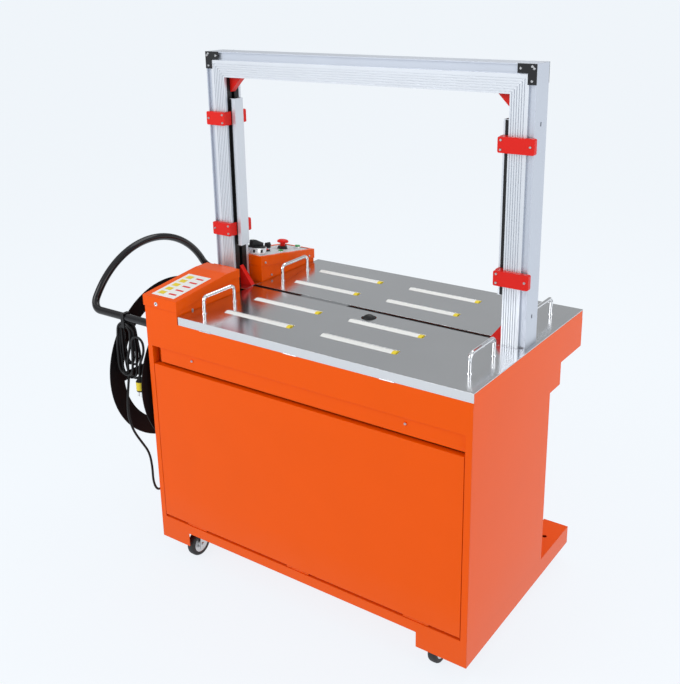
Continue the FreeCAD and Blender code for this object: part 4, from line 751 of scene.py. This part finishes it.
plug = piece("mains_plug", [plug_body, *pins, ((tag, tag_faces), yellow)], "cabinet")
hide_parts("power_plug")

# %% [markdown]
# ## Studio
# A pale floor runs far past the machine, so it fills the view to the top. A wide soft light stands at the
# front left and a weaker one at the right, which leaves the side panel a tone darker than the front. The
# sky is bright overhead and greyer above the horizon: the polished table mirrors that band.

# %% Floor, sky and lights
floor_mesh = bpy.data.meshes.new("floor")
FLOOR_REACH, FLOOR_LEVEL = 300, -0.0005
floor_mesh.from_pydata([(x * FLOOR_REACH, y * FLOOR_REACH, FLOOR_LEVEL)
                        for x, y in ((-1, -1), (1, -1), (1, 1), (-1, 1))], [], [(0, 1, 2, 3)])
floor_paint = finish("floor_paint", (0.10, 0.105, 0.11), 0.95, vary=0.0, bump=0.0, edge=0)
floor_inputs = floor_paint.node_tree.nodes["Principled BSDF"].inputs
floor_inputs["Specular IOR Level"].default_value = 0
floor_inputs["Emission Color"].default_value = (0.83, 0.87, 0.91, 1)
floor_inputs["Emission Strength"].default_value = 0.98
floor_mesh.materials.append(floor_paint)
floor = bpy.data.objects.new("floor", floor_mesh)
bpy.context.scene.collection.objects.link(floor)

scene = bpy.context.scene
scene.view_settings.view_transform = "Standard"
world = bpy.data.worlds.new("sky")
world.use_nodes = True
scene.world = world
tree = world.node_tree
sky = tree.nodes["Background"]
where = tree.nodes.new("ShaderNodeTexCoord")
height = tree.nodes.new("ShaderNodeSeparateXYZ")
ramp = tree.nodes.new("ShaderNodeValToRGB")
tree.links.new(where.outputs["Generated"], height.inputs["Vector"])
tree.links.new(height.outputs["Z"], ramp.inputs["Fac"])
tree.links.new(ramp.outputs["Color"], sky.inputs["Color"])
stops = ((0.0, 1.15), (0.06, 1.1), (0.24, 0.62), (0.50, 0.50), (0.80, 0.95))
while len(ramp.color_ramp.elements) < len(stops):
    ramp.color_ramp.elements.new(0.5)
for element, (position, tone) in zip(ramp.color_ramp.elements, stops):
    element.position = position
    element.color = (tone * 0.96, tone * 0.985, tone, 1)
sky.inputs["Strength"].default_value = 0.75


def soft_light(name, place, target, size, power):
    lamp = bpy.data.lights.new(name, "AREA")
    lamp.shape = "RECTANGLE"
    lamp.size, lamp.size_y = size
    lamp.energy = power
    obj = bpy.data.objects.new(name, lamp)
    obj.location = place
    obj.rotation_euler = (Vector(target) - Vector(place)).to_track_quat("-Z", "Y").to_euler()
    scene.collection.objects.link(obj)


soft_light("key", (-1.6, -3.4, 2.9), (0.1, 0, 0.6), (2.6, 2.2), 66)
soft_light("fill", (3.4, -0.6, 2.2), (0.1, 0, 0.6), (2.2, 2.0), 26)
soft_light("top", (0.2, 1.6, 3.6), (0.1, 0.1, 0.7), (3.0, 2.0), 34)

# %% [markdown]
# ## Camera
# Eye height is about a standing adult's, off the right front corner. The camera looks down by seventeen
# degrees, and a small upward shift keeps the machine's uprights in the middle of the view.

# %% Camera
EYE = (1.4415, -1.9405, 1.608)
azimuth, elevation, roll = (math.radians(a) for a in (35.37, 17.21, -0.99))
camera_data = bpy.data.cameras.new("camera")
camera_data.lens = 48.71
camera_data.sensor_width = 36
camera_data.shift_y = -0.1096
camera = bpy.data.objects.new("camera", camera_data)
ahead = Vector((-math.sin(azimuth) * math.cos(elevation), math.cos(azimuth) * math.cos(elevation),
                -math.sin(elevation)))
camera.matrix_world = (Matrix.Translation(EYE)
                       @ ahead.to_track_quat("-Z", "Y").to_matrix().to_4x4() @ Matrix.Rotation(roll, 4, "Z"))
scene.collection.objects.link(camera)
scene.camera = camera
